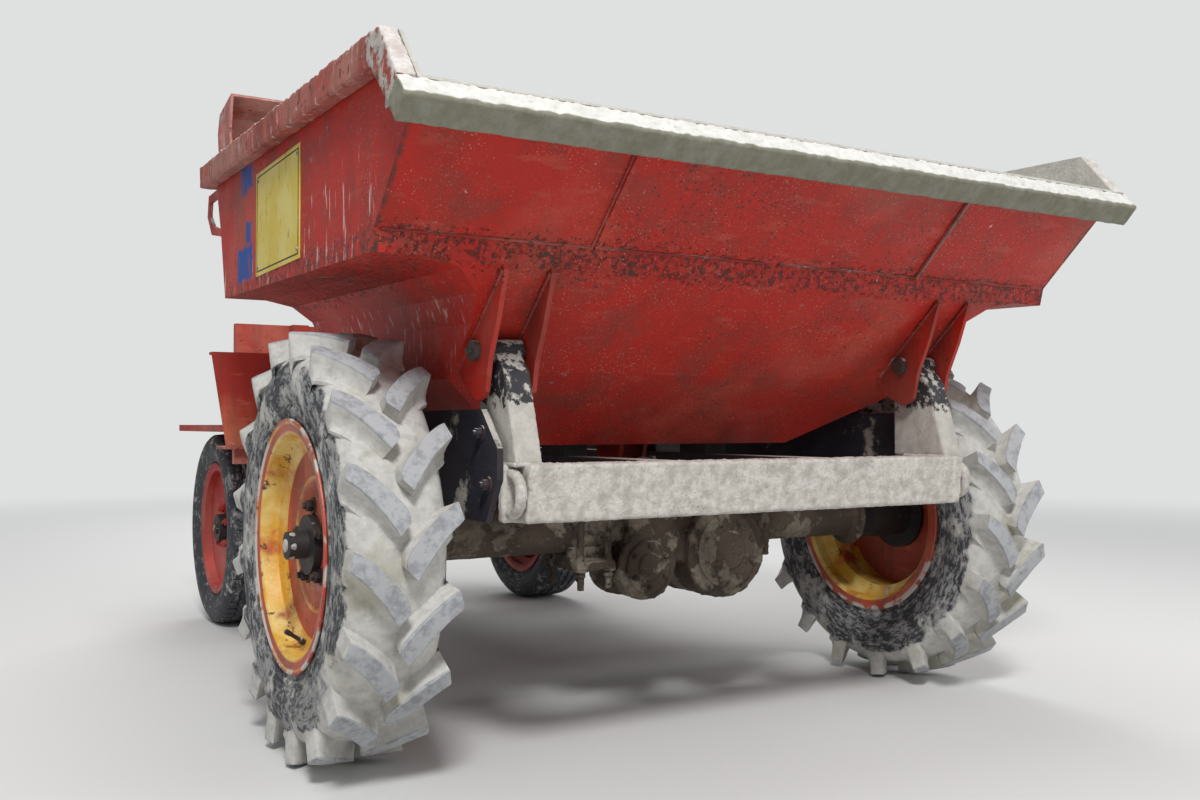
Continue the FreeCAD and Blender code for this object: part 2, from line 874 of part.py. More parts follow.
def make_side_plates():
    """Upright plates beside the front of the frame, their front edges raked."""
    points = [
        (fore(S.plate_nose_fore), S.rail_top - S.plate_nose_low),
        (fore(S.plate_foot_fore), S.plate_bottom),
        (aft(S.plate_step_aft), S.plate_bottom),
        (aft(S.plate_tube_aft) - S.cross_tube_depth, S.rail_bottom - S.cross_tube_height),
        (aft(S.plate_end_aft), S.rail_bottom - S.cross_tube_height),
        (aft(S.plate_end_aft), PLATE_TOP - S.plate_step_drop),
        (aft(S.plate_top_end_aft), PLATE_TOP),
        (fore(S.floor_start_fore), PLATE_TOP),
        (fore(S.plate_shoulder_fore), S.pin_height - S.plate_pin_drop),
        (fore(S.plate_nose_fore), S.rail_top + S.plate_nose_rise),
    ]
    plates = [
        prism("side_plate_" + side, "x", points,
              *span(sign, PLATE_OFFSET, PLATE_OFFSET + S.plate_thickness))
        for side, sign in sides()
    ]
    node("side_plates", group("side_plates", *plates))


def make_front_beam():
    """The front bumper beam with its end blocks and the ram's clevis."""
    back = fore(S.beam_back_fore)
    points = [
        (fore(S.beam_front_top_fore), S.rail_top),
        (fore(S.beam_front_bottom_fore), S.beam_bottom),
        (back, S.beam_bottom),
        (back, S.rail_top),
    ]
    half = PLATE_OFFSET - S.beam_end_inset
    beam = prism("beam_box", "x", points, -half, half)
    block_front = back - S.beam_tie_depth
    tie = box("beam_tie", (-PLATE_OFFSET, PLATE_OFFSET), (block_front, back),
              (S.beam_bottom, S.rail_top))
    pieces = [beam, tie]
    for side, sign in sides():
        inner = S.eye_width / 2 + S.clevis_gap
        x = span(sign, inner, inner + S.clevis_plate)
        cheek = prism("ram_cheek_" + side, "x", clevis_points(back), *x)
        hole = rod("ram_cheek_hole_" + side, "x", (fore(S.ram_base_fore), S.ram_base_height), *x,
                   S.ram_pin_radius + S.pin_clearance)
        pieces.append(cut("ram_cheek_bored_" + side, cheek, hole))
    node("front_beam", fuse("front_beam", *pieces))


def make_lashing_loops():
    """Round-bar loops on the front faces of the beam's end blocks."""
    face = fore(S.beam_back_fore) - S.beam_tie_depth
    bend_y = face - S.loop_stem
    middle_z = (S.beam_bottom + S.rail_top) / 2
    loops = []
    for side, sign in sides():
        x = (PLATE_OFFSET - S.loop_bar_radius - S.loop_inset) * sign
        bend = DOC.addObject("Part::Torus", "loop_bend_" + side)
        bind(bend, "Radius1", S.loop_radius)
        bind(bend, "Radius2", S.loop_bar_radius)
        bend.Angle3 = 180
        bend.Placement = FreeCAD.Placement(
            V(), FreeCAD.Rotation(V(0, 0, 1), V(0, -1, 0), V(1, 0, 0), "ZXY"))
        place(bend, x, bend_y, middle_z)
        bars = [
            rod("loop_bar_%s_%s" % (level, side), "y", (x, z), bend_y, face, S.loop_bar_radius)
            for level, z in (("top", middle_z + S.loop_radius), ("low", middle_z - S.loop_radius))
        ]
        loops.append(fuse("loop_" + side, bend, *bars))
    node("lashing_loops", group("lashing_loops", *loops))


def clevis_points(back):
    """The side view of the ram's base clevis, welded to the beam's back."""
    tip = fore(S.ram_base_fore) + S.eye_radius
    return [
        (back, S.beam_bottom),
        (tip, S.ram_base_height - S.eye_radius),
        (tip, S.ram_base_height + S.eye_radius),
        (back, S.rail_top),
    ]


def make_skip_posts():
    """The posts on the beam, each with a boss that holds a hinge pin of the skip."""
    base = S.rail_top
    points = [
        (fore(S.post_foot_fore), base),
        (fore(S.post_brow_fore), S.pin_height - 2 * S.post_tip_half_width),
        (fore(S.pin_fore + S.post_tip_half_width), S.pin_height),
        (fore(S.pin_fore - S.post_tip_half_width), S.pin_height),
        (fore(S.post_back_fore), S.pin_height - 3 * S.post_tip_half_width),
        (fore(S.post_back_fore), base),
    ]
    half = S.post_width / 2
    inner = EAR_INNER + S.ear_thickness / 2 + S.boss_side_gap
    outer = EAR_OUTER - S.ear_thickness / 2 - S.boss_side_gap
    centre = (fore(S.pin_fore), S.pin_height)
    posts = []
    for side, sign in sides():
        column = prism("post_" + side, "x", points,
                       *span(sign, POST_OFFSET - half, POST_OFFSET + half))
        boss = rod("post_boss_" + side, "x", centre, *span(sign, inner, outer), S.boss_radius)
        bore = rod("post_bore_" + side, "x", centre, *span(sign, inner, outer),
                   S.pin_radius + S.pin_clearance)
        posts.append(cut("post_bored_" + side, fuse("post_joined_" + side, column, boss), bore))
    node("skip_posts", group("skip_posts", *posts))


def make_skip_rests():
    """Rubber blocks on the rails that the lowered skip rests on."""
    half = S.rail_width / 2
    blocks = []
    for side, sign in sides():
        for name, low in (("fore", aft(S.rest_fore_aft)), ("aft", aft(S.rest_rear_aft))):
            blocks.append(box("rest_%s_%s" % (name, side),
                              span(sign, S.rail_offset - half, S.rail_offset + half),
                              (low, low + S.rest_length),
                              (S.rail_top, S.skip_floor_height - S.rest_clearance)))
    node("skip_rests", group("skip_rests", *blocks))


def inset(points, wall):
    """An outline moved inwards by the wall, corner by corner."""
    count = len(points)
    area = sum(points[k][0] * points[(k + 1) % count][1] - points[(k + 1) % count][0] * points[k][1]
               for k in range(count))
    turn = 1 if area > 0 else -1
    moved = []
    for k in range(count):
        before = V(*points[k - 1], 0)
        here = V(*points[k], 0)
        after = V(*points[(k + 1) % count], 0)
        one = (here - before).normalize()
        two = (after - here).normalize()
        normal = (V(-one.y, one.x, 0) + V(-two.y, two.x, 0)) * turn
        reach = wall / (1 + one.dot(two))
        moved.append((here.x + normal.x * reach, here.y + normal.y * reach))
    return moved


def skip_side_points():
    """The tub's side view, from the lip round the floor to the rear rim."""
    panel = panel_spot(0, 0)
    lip_low = panel_spot(0, -S.skip_wall.value)
    lip_high = panel_spot(S.lip_bar_length.value, -S.skip_wall.value)
    # distance behind the front axle, and height
    fixed = [
        (-S.panel_fold_fore, S.panel_fold_height),
        (-S.wing_start_fore, S.skip_wing_height - S.wing_start_drop),
        (-S.toe_fold_fore, S.toe_fold_height),
        (-S.floor_start_fore, S.skip_floor_height),
        (S.floor_end_aft, S.skip_floor_height),
        (S.back_fold_aft, S.back_fold_height),
        (S.back_top_aft, S.back_top_height),
        (S.rim_rear_aft, S.skip_rim_rear_height),
        (-S.rim_front_fore, S.skip_rim_front_height),
    ]
    return [lip_high, lip_low, panel] + [(aft(y).value, z.value) for y, z in fixed]


def panel_spot(along_panel, outward):
    """A point near the top of the front panel, in the side view."""
    y = fore(S.panel_top_fore).value - along_panel * LIP_COS - outward * LIP_SIN
    z = S.panel_top_height.value + along_panel * LIP_SIN - outward * LIP_COS
    return y, z


def skip_cross_points(grow):
    """The tub's cross section with its wheel arches; grow lengthens it upwards."""
    top = S.skip_rim_rear_height.value + grow
    step = SKIP_STEP.value
    waist = SKIP_WAIST.value
    arch_low = S.skip_arch_height.value
    drop = S.skip_wing_height.value - arch_low
    arch = [(S.skip_half_width.value, S.skip_wing_height.value), (step, S.skip_wing_height.value)]
    for angle in (30, 60):
        turned = math.radians(angle)
        arch.append((step - (step - waist) * math.sin(turned), arch_low + drop * math.cos(turned)))
    knee = S.skip_knee_height.value
    lean = S.skip_floor_setback.value / (knee - S.skip_floor_height.value)
    below = (knee - S.skip_floor_height.value) * (1 + FLOOR_SPARE)
    low = [(waist, arch_low), (waist, knee), (waist - lean * below, knee - below)]
    right = [(S.skip_half_width.value, top)] + arch + low
    return right + [(-x, z) for x, z in reversed(right)]


def cross_slab(points):
    """The tub's cross section as a long solid that rises towards the rear like its rim."""
    reach = S.back_top_aft.value + S.panel_top_fore.value
    solid = slab(points, "y", fore(reach).value, aft(reach).value)
    hinge = V(0, fore(S.wing_start_fore).value, S.skip_wing_height.value)
    solid.rotate(hinge, V(1, 0, 0), WING_RISE)
    return solid


def slab(points, axis, low, high):
    """A straight-sided solid from numbers, between two places along an axis."""
    if axis == "x":
        corners = [V(low, y, z) for y, z in points]
        push = V(high - low, 0, 0)
    else:
        corners = [V(x, low, z) for x, z in points]
        push = V(0, high - low, 0)
    return Part.Face(Part.makePolygon(corners + corners[:1])).extrude(push)


def make_skip_tub():
    """The folded tub: the side view and the cross section, made hollow and open on top."""
    wall = S.skip_wall.value
    half = S.skip_half_width.value
    side = skip_side_points()
    outer = slab(side, "x", -half, half).common(cross_slab(skip_cross_points(2 * wall)))
    hollow_side = opened(inset(side, wall), 3 * wall)
    cross = inset(skip_cross_points(6 * wall), wall)
    hollow = slab(hollow_side, "x", -half, half).common(cross_slab(cross))
    tub = outer.cut(hollow)
    node("skip_tub", solid_feature("skip_tub", tub))
    return outer


def opened(points, spare):
    """Push the hollow's top and its edge over the lip outwards, so that the tub is open there."""
    rim_low = S.skip_rim_front_height.value - spare
    moved = [(y, z + spare) if z > rim_low else (y, z) for y, z in points]
    for k in (0, -1):
        y, z = moved[k]
        moved[k] = (y - spare * LIP_COS, z + spare * LIP_SIN)
    return moved


def make_skip_lip():
    """The square bar along the front edge of the tub."""
    wall = -S.skip_wall.value
    length = S.lip_bar_length.value
    out = S.lip_bar_out.value
    points = [panel_spot(0, wall), panel_spot(length, wall), panel_spot(length, out),
              panel_spot(0, out)]
    half = (S.skip_half_width + S.rim_bar_out).value
    node("skip_lip", solid_feature("skip_lip", slab(points, "x", -half, half)))


def make_panel_ribs(outer):
    """Two flat bars down the outside of the front panel, from the lip to the fold."""
    height = S.rib_height.value
    length = S.rib_length.value
    points = [panel_spot(0, 0), panel_spot(0, height), panel_spot(-length, height),
              panel_spot(-length, 0)]
    ribs = []
    for _, sign in sides():
        low, high = (edge.value for edge in span(sign, S.rib_offset, S.rib_offset + S.rib_width))
        ribs.append(slab(points, "x", low, high).cut(outer))
    node("panel_ribs", solid_feature("panel_ribs", Part.makeCompound(ribs)))


def make_skip_rim():
    """The box bar up the cheeks' front edges, along the sides and across the rear."""
    height = S.rim_bar_height
    front_y = fore(S.rim_front_fore)
    rear_y = aft(S.rim_rear_aft)
    lip_y = fore(S.panel_top_fore) + S.skip_wall * LIP_SIN
    lip_z = S.panel_top_height + S.skip_wall * LIP_COS
    points = [
        (front_y, S.skip_rim_front_height),
        (lip_y - S.lip_bar_length * LIP_COS, lip_z + S.lip_bar_length * LIP_SIN),
        (lip_y, lip_z),
        (front_y + S.rim_end_slope, S.skip_rim_front_height - height),
        (rear_y + S.rim_bar_out, S.skip_rim_rear_height - height),
        (rear_y + S.rim_bar_out, S.skip_rim_rear_height),
    ]
    half = S.skip_half_width
    bars = [
        prism("rim_bar_" + side, "x", points, *span(sign, half, half + S.rim_bar_out))
        for side, sign in sides()
    ]
    rear_points = [
        (rear_y, S.skip_rim_rear_height),
        (rear_y - S.rim_rear_slope, S.skip_rim_rear_height - height),
        (rear_y + S.rim_bar_out, S.skip_rim_rear_height - height),
        (rear_y + S.rim_bar_out, S.skip_rim_rear_height),
    ]
    rear = prism("rim_bar_rear", "x", rear_points, -half, half)
    return fuse("rim_joined", *bars, rear)


def make_spill_guard():
    """The guard over the rear edge: an upright sheet that hoods forward, with end plates."""
    foot = aft(S.rim_rear_aft)
    hood = aft(S.spill_hood_aft)
    back = aft(S.spill_back_aft)
    base = S.skip_rim_rear_height
    plate = S.spill_plate
    top = S.spill_top
    knee = top - S.spill_knee_drop
    brow = top - S.spill_brow_drop
    brow_y = back - S.spill_brow_back
    sheet_points = [
        (foot, base),
        (foot + plate, base),
        (back, knee),
        (brow_y, brow),
        (hood, top),
        (hood, top - plate),
        (brow_y - plate, brow - plate),
        (back - plate, knee - plate),
    ]
    half = S.skip_half_width - S.skip_wall
    sheet = prism("spill_sheet", "x", sheet_points, -half, half)
    end_points = [
        (foot - S.spill_end_fore, base - plate),
        (foot, base),
        (back - plate, knee - plate),
        (brow_y - plate, brow - plate),
        (hood, top - plate),
        (hood + S.spill_brow_back, base + S.spill_end_rise),
    ]
    ends = [
        prism("spill_end_" + side, "x", end_points, *span(sign, half - plate, half))
        for side, sign in sides()
    ]
    return fuse("spill_joined", sheet, *ends)


# An ear's corners: distance ahead of the pin, and height over it.
EAR_SHAPE = ((116, 150), (118, 140), (86, 54), (51, -20), (38, -78), (27, -87), (2, -94),
             (-53, -68), (-84, -32))


def ear_points():
    """The side view of a hinge ear under the front facet of the tub."""
    return [(fore(S.pin_fore + ahead), S.pin_height + rise) for ahead, rise in EAR_SHAPE]


def make_skip_ears(skip_body):
    """Four ears that straddle the posts, bored for the pins."""
    half = S.ear_thickness / 2
    centre = (fore(S.pin_fore), S.pin_height)
    ears = []
    for side, sign in sides():
        for name, offset in (("inner", EAR_INNER), ("outer", EAR_OUTER)):
            label = "ear_%s_%s" % (name, side)
            x = span(sign, offset - half, offset + half)
            ear = prism(label, "x", ear_points(), *x)
            bore = rod(label + "_bore", "x", centre, *x, S.pin_radius + S.pin_clearance)
            ears.append(cut(label + "_cut", ear, bore, skip_body))
    node("skip_ears", group("skip_ears", *ears))


def make_hinge_pins():
    """The pins of the skip's hinge, one through each pair of ears."""
    centre = (fore(S.pin_fore), S.pin_height)
    half = S.ear_thickness / 2
    pins = []
    for side, sign in sides():
        inner = EAR_INNER - half - S.pin_head_width
        outer = EAR_OUTER + half + S.pin_head_width
        shaft = rod("pin_shaft_" + side, "x", centre, *span(sign, inner, outer), S.pin_radius)
        head = rod("pin_head_" + side, "x", centre,
                   *span(sign, outer - S.pin_head_width + S.pin_clearance, outer),
                   S.pin_radius + S.pin_head_rise)
        pins.append(fuse("pin_" + side, shaft, head))
    node("hinge_pins", group("hinge_pins", *pins))


def make_skip_handles():
    """Bent flat-bar handles on the rear edges of the tub's sides."""
    handles = []
    bar = S.handle_bar
    for side, sign in sides():
        x = span(sign, S.skip_half_width - S.skip_wall, S.skip_half_width)
        start = aft(S.handle_start_aft)
        reach = S.handle_reach
        top = S.handle_top
        low = top - S.handle_depth
        bulge = top - S.handle_depth * 0.42
        outer = [
            (start, low),
            (start + reach * 0.9, low + bar),
            (start + reach * 1.31, bulge),
            (start + reach * 1.21, top),
            (start + reach * 0.27, top),
        ]
        inner = [
            (start + reach * 0.09, low + bar),
            (start + reach * 0.77, low + 2 * bar),
            (start + reach * 1.11, bulge),
            (start + reach * 1.05, top - bar),
            (start + reach * 0.38, top - bar),
        ]
        loop = prism("handle_" + side, "x", outer, *x)
        hole = prism("handle_hole_" + side, "x", inner, *x)
        handles.append(cut("handle_cut_" + side, loop, hole))
    return group("handles_joined", *handles)


def make_rod_bracket():
    """Cheeks under the tub's floor, one each side of the ram's eye."""
    inner = S.eye_width / 2 + S.rod_cheek_gap
    centre = (aft(S.ram_eye_aft), S.ram_eye_height)
    foot = S.rod_cheek_half_foot
    points = [
        (aft(S.ram_eye_aft) - foot, S.skip_floor_height),
        (aft(S.ram_eye_aft) - S.eye_radius, S.ram_eye_height - S.eye_radius),
        (aft(S.ram_eye_aft) + S.eye_radius, S.ram_eye_height - S.eye_radius),
        (aft(S.ram_eye_aft) + foot, S.skip_floor_height),
    ]
    cheeks = []
    for side, sign in sides():
        x = span(sign, inner, inner + S.rod_cheek_plate)
        cheek = prism("rod_cheek_" + side, "x", points, *x)
        bore = rod("rod_cheek_bore_" + side, "x", centre, *x, S.ram_pin_radius + S.pin_clearance)
        cheeks.append(cut("rod_cheek_cut_" + side, cheek, bore))
    node("rod_bracket", group("rod_bracket", *cheeks))


def ram_length():
    """The closed length of the ram, pin to pin, and its slope at rest."""
    run = S.ram_base_fore.value + S.ram_eye_aft.value
    rise = S.ram_eye_height.value - S.ram_base_height.value
    return math.hypot(run, rise), math.degrees(math.atan2(rise, run))


def make_ram():
    """The tipping ram: its barrel and its rod, along the line between their pins."""
    closed, slope = ram_length()
    base = V(0, FRONT.value - S.ram_base_fore.value, S.ram_base_height.value)
    half_eye = S.eye_width.value / 2
    eye = S.eye_radius.value
    bore = S.barrel_bore.value
    radius = S.barrel_radius.value
    barrel_end = closed - S.barrel_short.value
    rod_start = eye + S.rod_start_gap.value
    play = S.ram_gap.value
    across = V(1, 0, 0)
    line = V(0, 1, 0)
    neck_end = eye + S.barrel_neck.value
    collar = S.barrel_collar_width.value
    wide = radius + S.barrel_collar_rise.value
    barrel = Part.makeCylinder(radius, barrel_end - neck_end, V(0, neck_end, 0), line)
    barrel = barrel.fuse(Part.makeCylinder(half_eye - play, neck_end, V(), line))
    barrel = barrel.fuse(Part.makeCylinder(wide, collar, V(0, barrel_end - collar, 0), line))
    barrel = barrel.cut(Part.makeCylinder(bore, barrel_end, V(0, rod_start - play, 0), line))
    barrel = barrel.fuse(Part.makeCylinder(eye, 2 * half_eye, V(-half_eye, 0, 0), across))
    pin_hole = S.ram_pin_radius.value + S.pin_clearance.value
    barrel = barrel.cut(Part.makeCylinder(pin_hole, 2 * half_eye, V(-half_eye, 0, 0), across))
    stem = Part.makeCylinder(S.rod_radius.value, closed - rod_start, V(0, rod_start, 0), line)
    piston = Part.makeCylinder(bore - S.pin_clearance.value, S.piston_length.value,
                               V(0, rod_start, 0), line)
    stem = stem.fuse(piston)
    stem = stem.fuse(Part.makeCylinder(eye, 2 * half_eye, V(-half_eye, closed, 0), across))
    pin_reach = half_eye + S.rod_pin_spare.value
    stem = stem.fuse(Part.makeCylinder(S.ram_pin_radius.value, 2 * pin_reach,
                                       V(-pin_reach, closed, 0), across))
    lean = FreeCAD.Placement(base, FreeCAD.Rotation(across, slope))
    for label, shape in (("lift_barrel", barrel), ("lift_rod", stem.removeSplitter())):
        piece = DOC.addObject("Part::Feature", label)
        piece.Shape = shape
        piece.Placement = lean
        node(label, piece)
    pin_half = S.eye_width / 2 + S.clevis_gap + S.clevis_plate + S.ram_pin_spare
    node("ram_pin", rod("ram_pin", "x", (fore(S.ram_base_fore), S.ram_base_height),
                        -pin_half, pin_half, S.ram_pin_radius))


def make_driveline():
    """Gearbox between the rails and the shaft from it to the axle's gear case."""
    half = S.gearbox_half_width
    start = aft(S.gearbox_fore_edge)
    end = ENGINE_START - S.bell_length
    casing = box("gearbox_casing", (-half, half), (start, end), (S.gearbox_bottom, S.rail_top - S.gearbox_drop))
    bell = rod("gearbox_bell", "y", (0, S.rail_top - S.bell_drop), end,
               ENGINE_START - S.seat_clearance, S.bell_radius)
    ear_start = start + S.gearbox_ear_start
    ear_low = S.rail_bottom + S.gearbox_ear_rise
    ears = box("gearbox_ears", (-S.rail_offset + S.rail_width / 2, S.rail_offset - S.rail_width / 2),
               (ear_start, ear_start + S.gearbox_ear_width),
               (ear_low, ear_low + S.gearbox_ear_rise))
    node("gearbox", fuse("gearbox", casing, bell, ears))
    node("drive_shaft", rod("drive_shaft", "y", (0, S.shaft_height), FRONT + S.nose_end, start,
                            S.shaft_radius))


def make_engine():
    """The engine block and sump, its finned cylinders, cowl, filter and silencer."""
    start = ENGINE_START
    end = start + S.engine_length
    half = S.engine_half_width
    top = S.rail_top + S.engine_height
    block = box("block_body", (-half, half), (start, end), (S.rail_top, top))
    sump_low = S.rail_top - S.sump_depth + S.sump_rise
    sump = box("block_sump", (-S.sump_half_width, S.sump_half_width), (start, end - S.sump_short),
               (sump_low, S.rail_top))
    foot_start = start + S.foot_start
    wide = S.rail_offset + S.foot_height
    feet = box("block_feet", (-wide, wide), (foot_start, foot_start + S.foot_width),
               (S.rail_top, S.rail_top + S.foot_height))
    node("engine_block", fuse("engine_block", block, sump, feet))
    barrels = []
    for name, middle in (("fore", start + S.cylinder_fore), ("aft", start + S.cylinder_aft)):
        core = rod("cylinder_core_" + name, "z", (0, middle), top, top + S.cylinder_height,
                   S.cylinder_radius)
        fins = []
        for k in range(FINS):
            low = top + S.fin_start + S.fin_pitch * k
            fins.append(rod("cylinder_fin_%s_%d" % (name, k), "z", (0, middle), low,
                            low + S.fin_thickness, S.fin_radius))
        barrels.append(fuse("cylinder_" + name, core, *fins))
    node("engine_cylinders", group("engine_cylinders", *barrels))
    middle = (0, S.rail_top + S.crank_rise)
    cowl_end = end + S.cowl_length
    cowl = fuse("cowl_body", rod("cowl_drum", "y", middle, end, cowl_end, S.cowl_radius),
                rod("cowl_eye", "y", middle, cowl_end, cowl_end + S.cowl_eye_length,
                    S.cowl_eye_radius))
    node("flywheel_cowl", cowl)
    make_exhaust(start, end)
    make_air_filter(start)


FINS = 5


def make_exhaust(start, end):
    """The silencer along the engine's right side, with its stub and tail pipe."""
    place_xz = (-S.silencer_offset, S.silencer_height)
    can_start = start + S.silencer_start
    can_end = can_start + S.silencer_length
    silencer = rod("silencer_can", "y", place_xz, can_start, can_end, S.silencer_radius)
    pipe = rod("silencer_pipe", "y", place_xz, can_end, end + S.pipe_reach, S.pipe_radius)
    elbow = rod("silencer_stub", "x", (start + S.cylinder_fore, S.silencer_height),
                -S.silencer_offset, -S.engine_half_width, S.pipe_radius)
    node("exhaust", fuse("exhaust", silencer, pipe, elbow))


def make_air_filter(start):
    """The air filter's can beside the engine and the neck that joins them."""
    y = start + S.filter_place
    can = rod("filter_can", "z", (S.filter_offset, y), S.filter_bottom, S.filter_top,
              S.filter_radius)
    neck = rod("filter_neck", "x", (y, S.filter_neck_height), S.engine_half_width,
               S.filter_offset, S.filter_neck_radius)
    node("air_filter", fuse("air_filter", can, neck))


def make_tanks():
    """The fuel tank and the oil tank on the cross tubes, one each side."""
    for label, sign in (("fuel_tank", 1), ("oil_tank", -1)):
        x = span(sign, S.tank_inner, S.tank_outer)
        end = FOOTBOARD_START - S.tank_board_gap
        tank = box(label + "_body", x, (aft(S.tank_fore_edge), end),
                   (S.rail_bottom, S.rail_bottom + S.tank_height))
        middle_x = (x[0] + x[1]) / 2
        cap = rod(label + "_cap", "z", (middle_x, end - S.cap_inset),
                  S.rail_bottom + S.tank_height, S.rail_bottom + S.tank_height + S.cap_height,
                  S.cap_radius)
        node(label, fuse(label, tank, cap))


def make_footboard():
    """The floor plate on the rails, its ribs, and the toe board that stands on it."""
    half = S.footboard_half_width
    y = (FOOTBOARD_START, FOOTBOARD_END)
    plate = S.sheet_plate
    top = S.rail_top + plate
    floor = box("floor_plate", (-half, half), y, (S.rail_top, top))
    rail_side = S.rail_offset + S.rail_width / 2
    ribs = [
        box("floor_rib_" + side, span(sign, rail_side, half - S.floor_rib_inset),
            (y[0] + S.floor_rib_inset, y[0] + S.floor_rib_inset + S.floor_rib_width),
            (S.rail_top - S.floor_rib_drop, S.rail_top))
        for side, sign in sides()
    ]
    node("footboard", fuse("footboard", floor, *ribs))
    high = S.toe_board_half_width
    board = prism("toe_sheet", "y", [(-half, top), (half, top), (high, S.toe_board_top),
                                     (-high, S.toe_board_top)], y[0], y[0] + plate)
    fold = box("toe_fold", (-high, high), (y[0], y[0] + S.toe_fold_depth),
               (S.toe_board_top, S.toe_board_top + plate))
    node("toe_board", fuse("toe_board", board, fold))


def make_rear_fenders():
    """Deck plates over the rear wheels, with risers from the floor plate."""
    plate = S.sheet_plate
    floor_top = S.rail_top + plate
    fenders = []
    for side, sign in sides():
        x = span(sign, S.deck_inner, S.deck_outer)
        front = FOOTBOARD_END - plate
        rear = aft(RAIL_END_AFT) + S.guard_depth
        deck = box("deck_" + side, x, (front, rear), (S.deck_height, S.deck_height + plate))
        riser = box("deck_riser_" + side, x, (front, front + plate), (floor_top, S.deck_height))
        flap = box("deck_flap_" + side, span(sign, S.deck_outer - plate, S.deck_outer),
                   (front, rear), (S.deck_height - S.deck_flap, S.deck_height))
        stay = box("deck_stay_" + side, span(sign, S.deck_inner, S.deck_stay_outer),
                   (rear - S.guard_depth, rear), (S.rail_top, S.deck_height))
        fenders.append(fuse("fender_" + side, deck, riser, flap, stay))
    node("rear_fenders", group("rear_fenders", *fenders))


def make_rear_guard():
    """Posts on the rear cross tube and the bar across them."""
    y = aft(RAIL_END_AFT)
    plate = S.sheet_plate
    posts = [
        box("guard_post_" + side, span(sign, S.guard_post_inner, S.deck_inner - S.guard_post_gap),
            (y, y + S.guard_depth), (S.rail_top, S.guard_top))
        for side, sign in sides()
    ]
    bar = box("guard_bar", (-S.guard_half_width, S.guard_half_width),
              (y + S.guard_depth, y + S.guard_depth + S.guard_bar_depth),
              (S.guard_bottom, S.guard_top))
    node("rear_guard", fuse("rear_guard", *posts, bar))
    back = y + S.guard_depth
    node("ballast_plate", box("ballast_plate", (-S.ballast_half_width, S.ballast_half_width),
                              (back, back + S.ballast_thickness),
                              (S.ballast_bottom, S.rail_top + S.ballast_top_rise)))
    face = back + S.ballast_thickness
    pin_y = face + S.jaw_reach - S.jaw_pin_back
    half = S.jaw_half_width
    gap = S.jaw_half_gap
    jaws = []
    for name, low in (("low", S.tow_height - gap - S.jaw_plate), ("top", S.tow_height + gap)):
        z = (low, low + S.jaw_plate)
        leaf = box("jaw_leaf_" + name, (-half, half), (face, face + S.jaw_reach), z)
        bore = rod("jaw_bore_" + name, "z", (0, pin_y), *z, S.tow_pin_bore / 2)
        jaws.append(cut("jaw_" + name, leaf, bore))
    back_plate = box("jaw_back", (-half, half), (face, face + plate),
                     (S.tow_height - gap, S.tow_height + gap))
    node("tow_jaw", fuse("tow_jaw", *jaws, back_plate))


def make_seat():
    """The seat stand over the engine, the cushion and the leaning back."""
    half = S.seat_frame_half_width
    leg = S.seat_leg
    start = REAR - S.seat_frame_ahead
    end = aft(RAIL_END_AFT) - S.seat_rear_gap
    top = S.seat_deck_height
    plate = S.sheet_plate
    pieces = [box("seat_deck", (-half, half), (start, end), (top, top + plate))]
    for side, sign in sides():
        for name, low in (("fore", start), ("aft", end - leg)):
            pieces.append(box("seat_leg_%s_%s" % (name, side),
                              span(sign, half - leg, half), (low, low + leg), (S.rail_top, top)))
            pieces.append(box("seat_foot_%s_%s" % (name, side),
                              span(sign, S.rail_offset - S.seat_foot_inset, half), (low, low + leg),
                              (S.rail_top, S.rail_top + plate)))
    wide = S.seat_width / 2
    base = top + plate + S.seat_clearance
    back_low = base + S.cushion_height + S.cushion_back_gap
    spine_top = back_low + S.back_height - S.spine_short
    spine_back = end - S.seat_rear_gap
    spine_front = end - S.spine_face
    spine = prism("seat_spine", "x", [
        (end - S.spine_foot, top + plate),
        (spine_back, top + plate),
        (spine_back, spine_top),
        (spine_front, spine_top),
        (spine_front, top + plate + S.spine_knee),
    ], -S.spine_half_width, S.spine_half_width)
    node("seat_frame", fuse("seat_frame", *pieces, spine))
    front = end - S.cushion_rear_gap - S.cushion_depth
    node("seat_cushion", box("seat_cushion", (-wide, wide), (front, front + S.cushion_depth),
                             (base, base + S.cushion_height)))
    rear_face = spine_front - S.seat_clearance - S.back_lean
    front_face = rear_face - S.back_thickness
    back_top = back_low + S.back_height
    node("seat_back", prism("seat_back", "x", [
        (front_face, back_low),
        (rear_face, back_low),
        (rear_face + S.back_lean, spine_top),
        (rear_face - S.back_lean, back_top),
        (front_face + S.back_crown, back_top),
        (front_face, back_top - 2 * S.back_crown),
    ], -wide, wide))


def column_axis():
    """The lean of the steering column as sine and cosine."""
    lean = math.radians(S.column_lean.value)
    return math.sin(lean), math.cos(lean)


def make_steering_column():
    """The column's pedestal and tube; it leans back towards the seat."""
    foot = (0, COLUMN_FOOT, S.column_foot_height)
    pillar = DOC.addObject("Part::Cylinder", "column_tube")
    bind(pillar, "Radius", S.column_radius)
    bind(pillar, "Height", S.column_length)
    leaned(pillar, foot, S.column_lean.value)
    half = S.pedestal_half_width
    pedestal = box("column_pedestal", (-half, half),
                   (FOOTBOARD_START + S.sheet_plate + S.pedestal_gap,
                    COLUMN_FOOT + S.pedestal_rear),
                   (S.rail_top + S.sheet_plate, S.pedestal_top))
    node("steering_column", fuse("steering_column", pillar, pedestal))


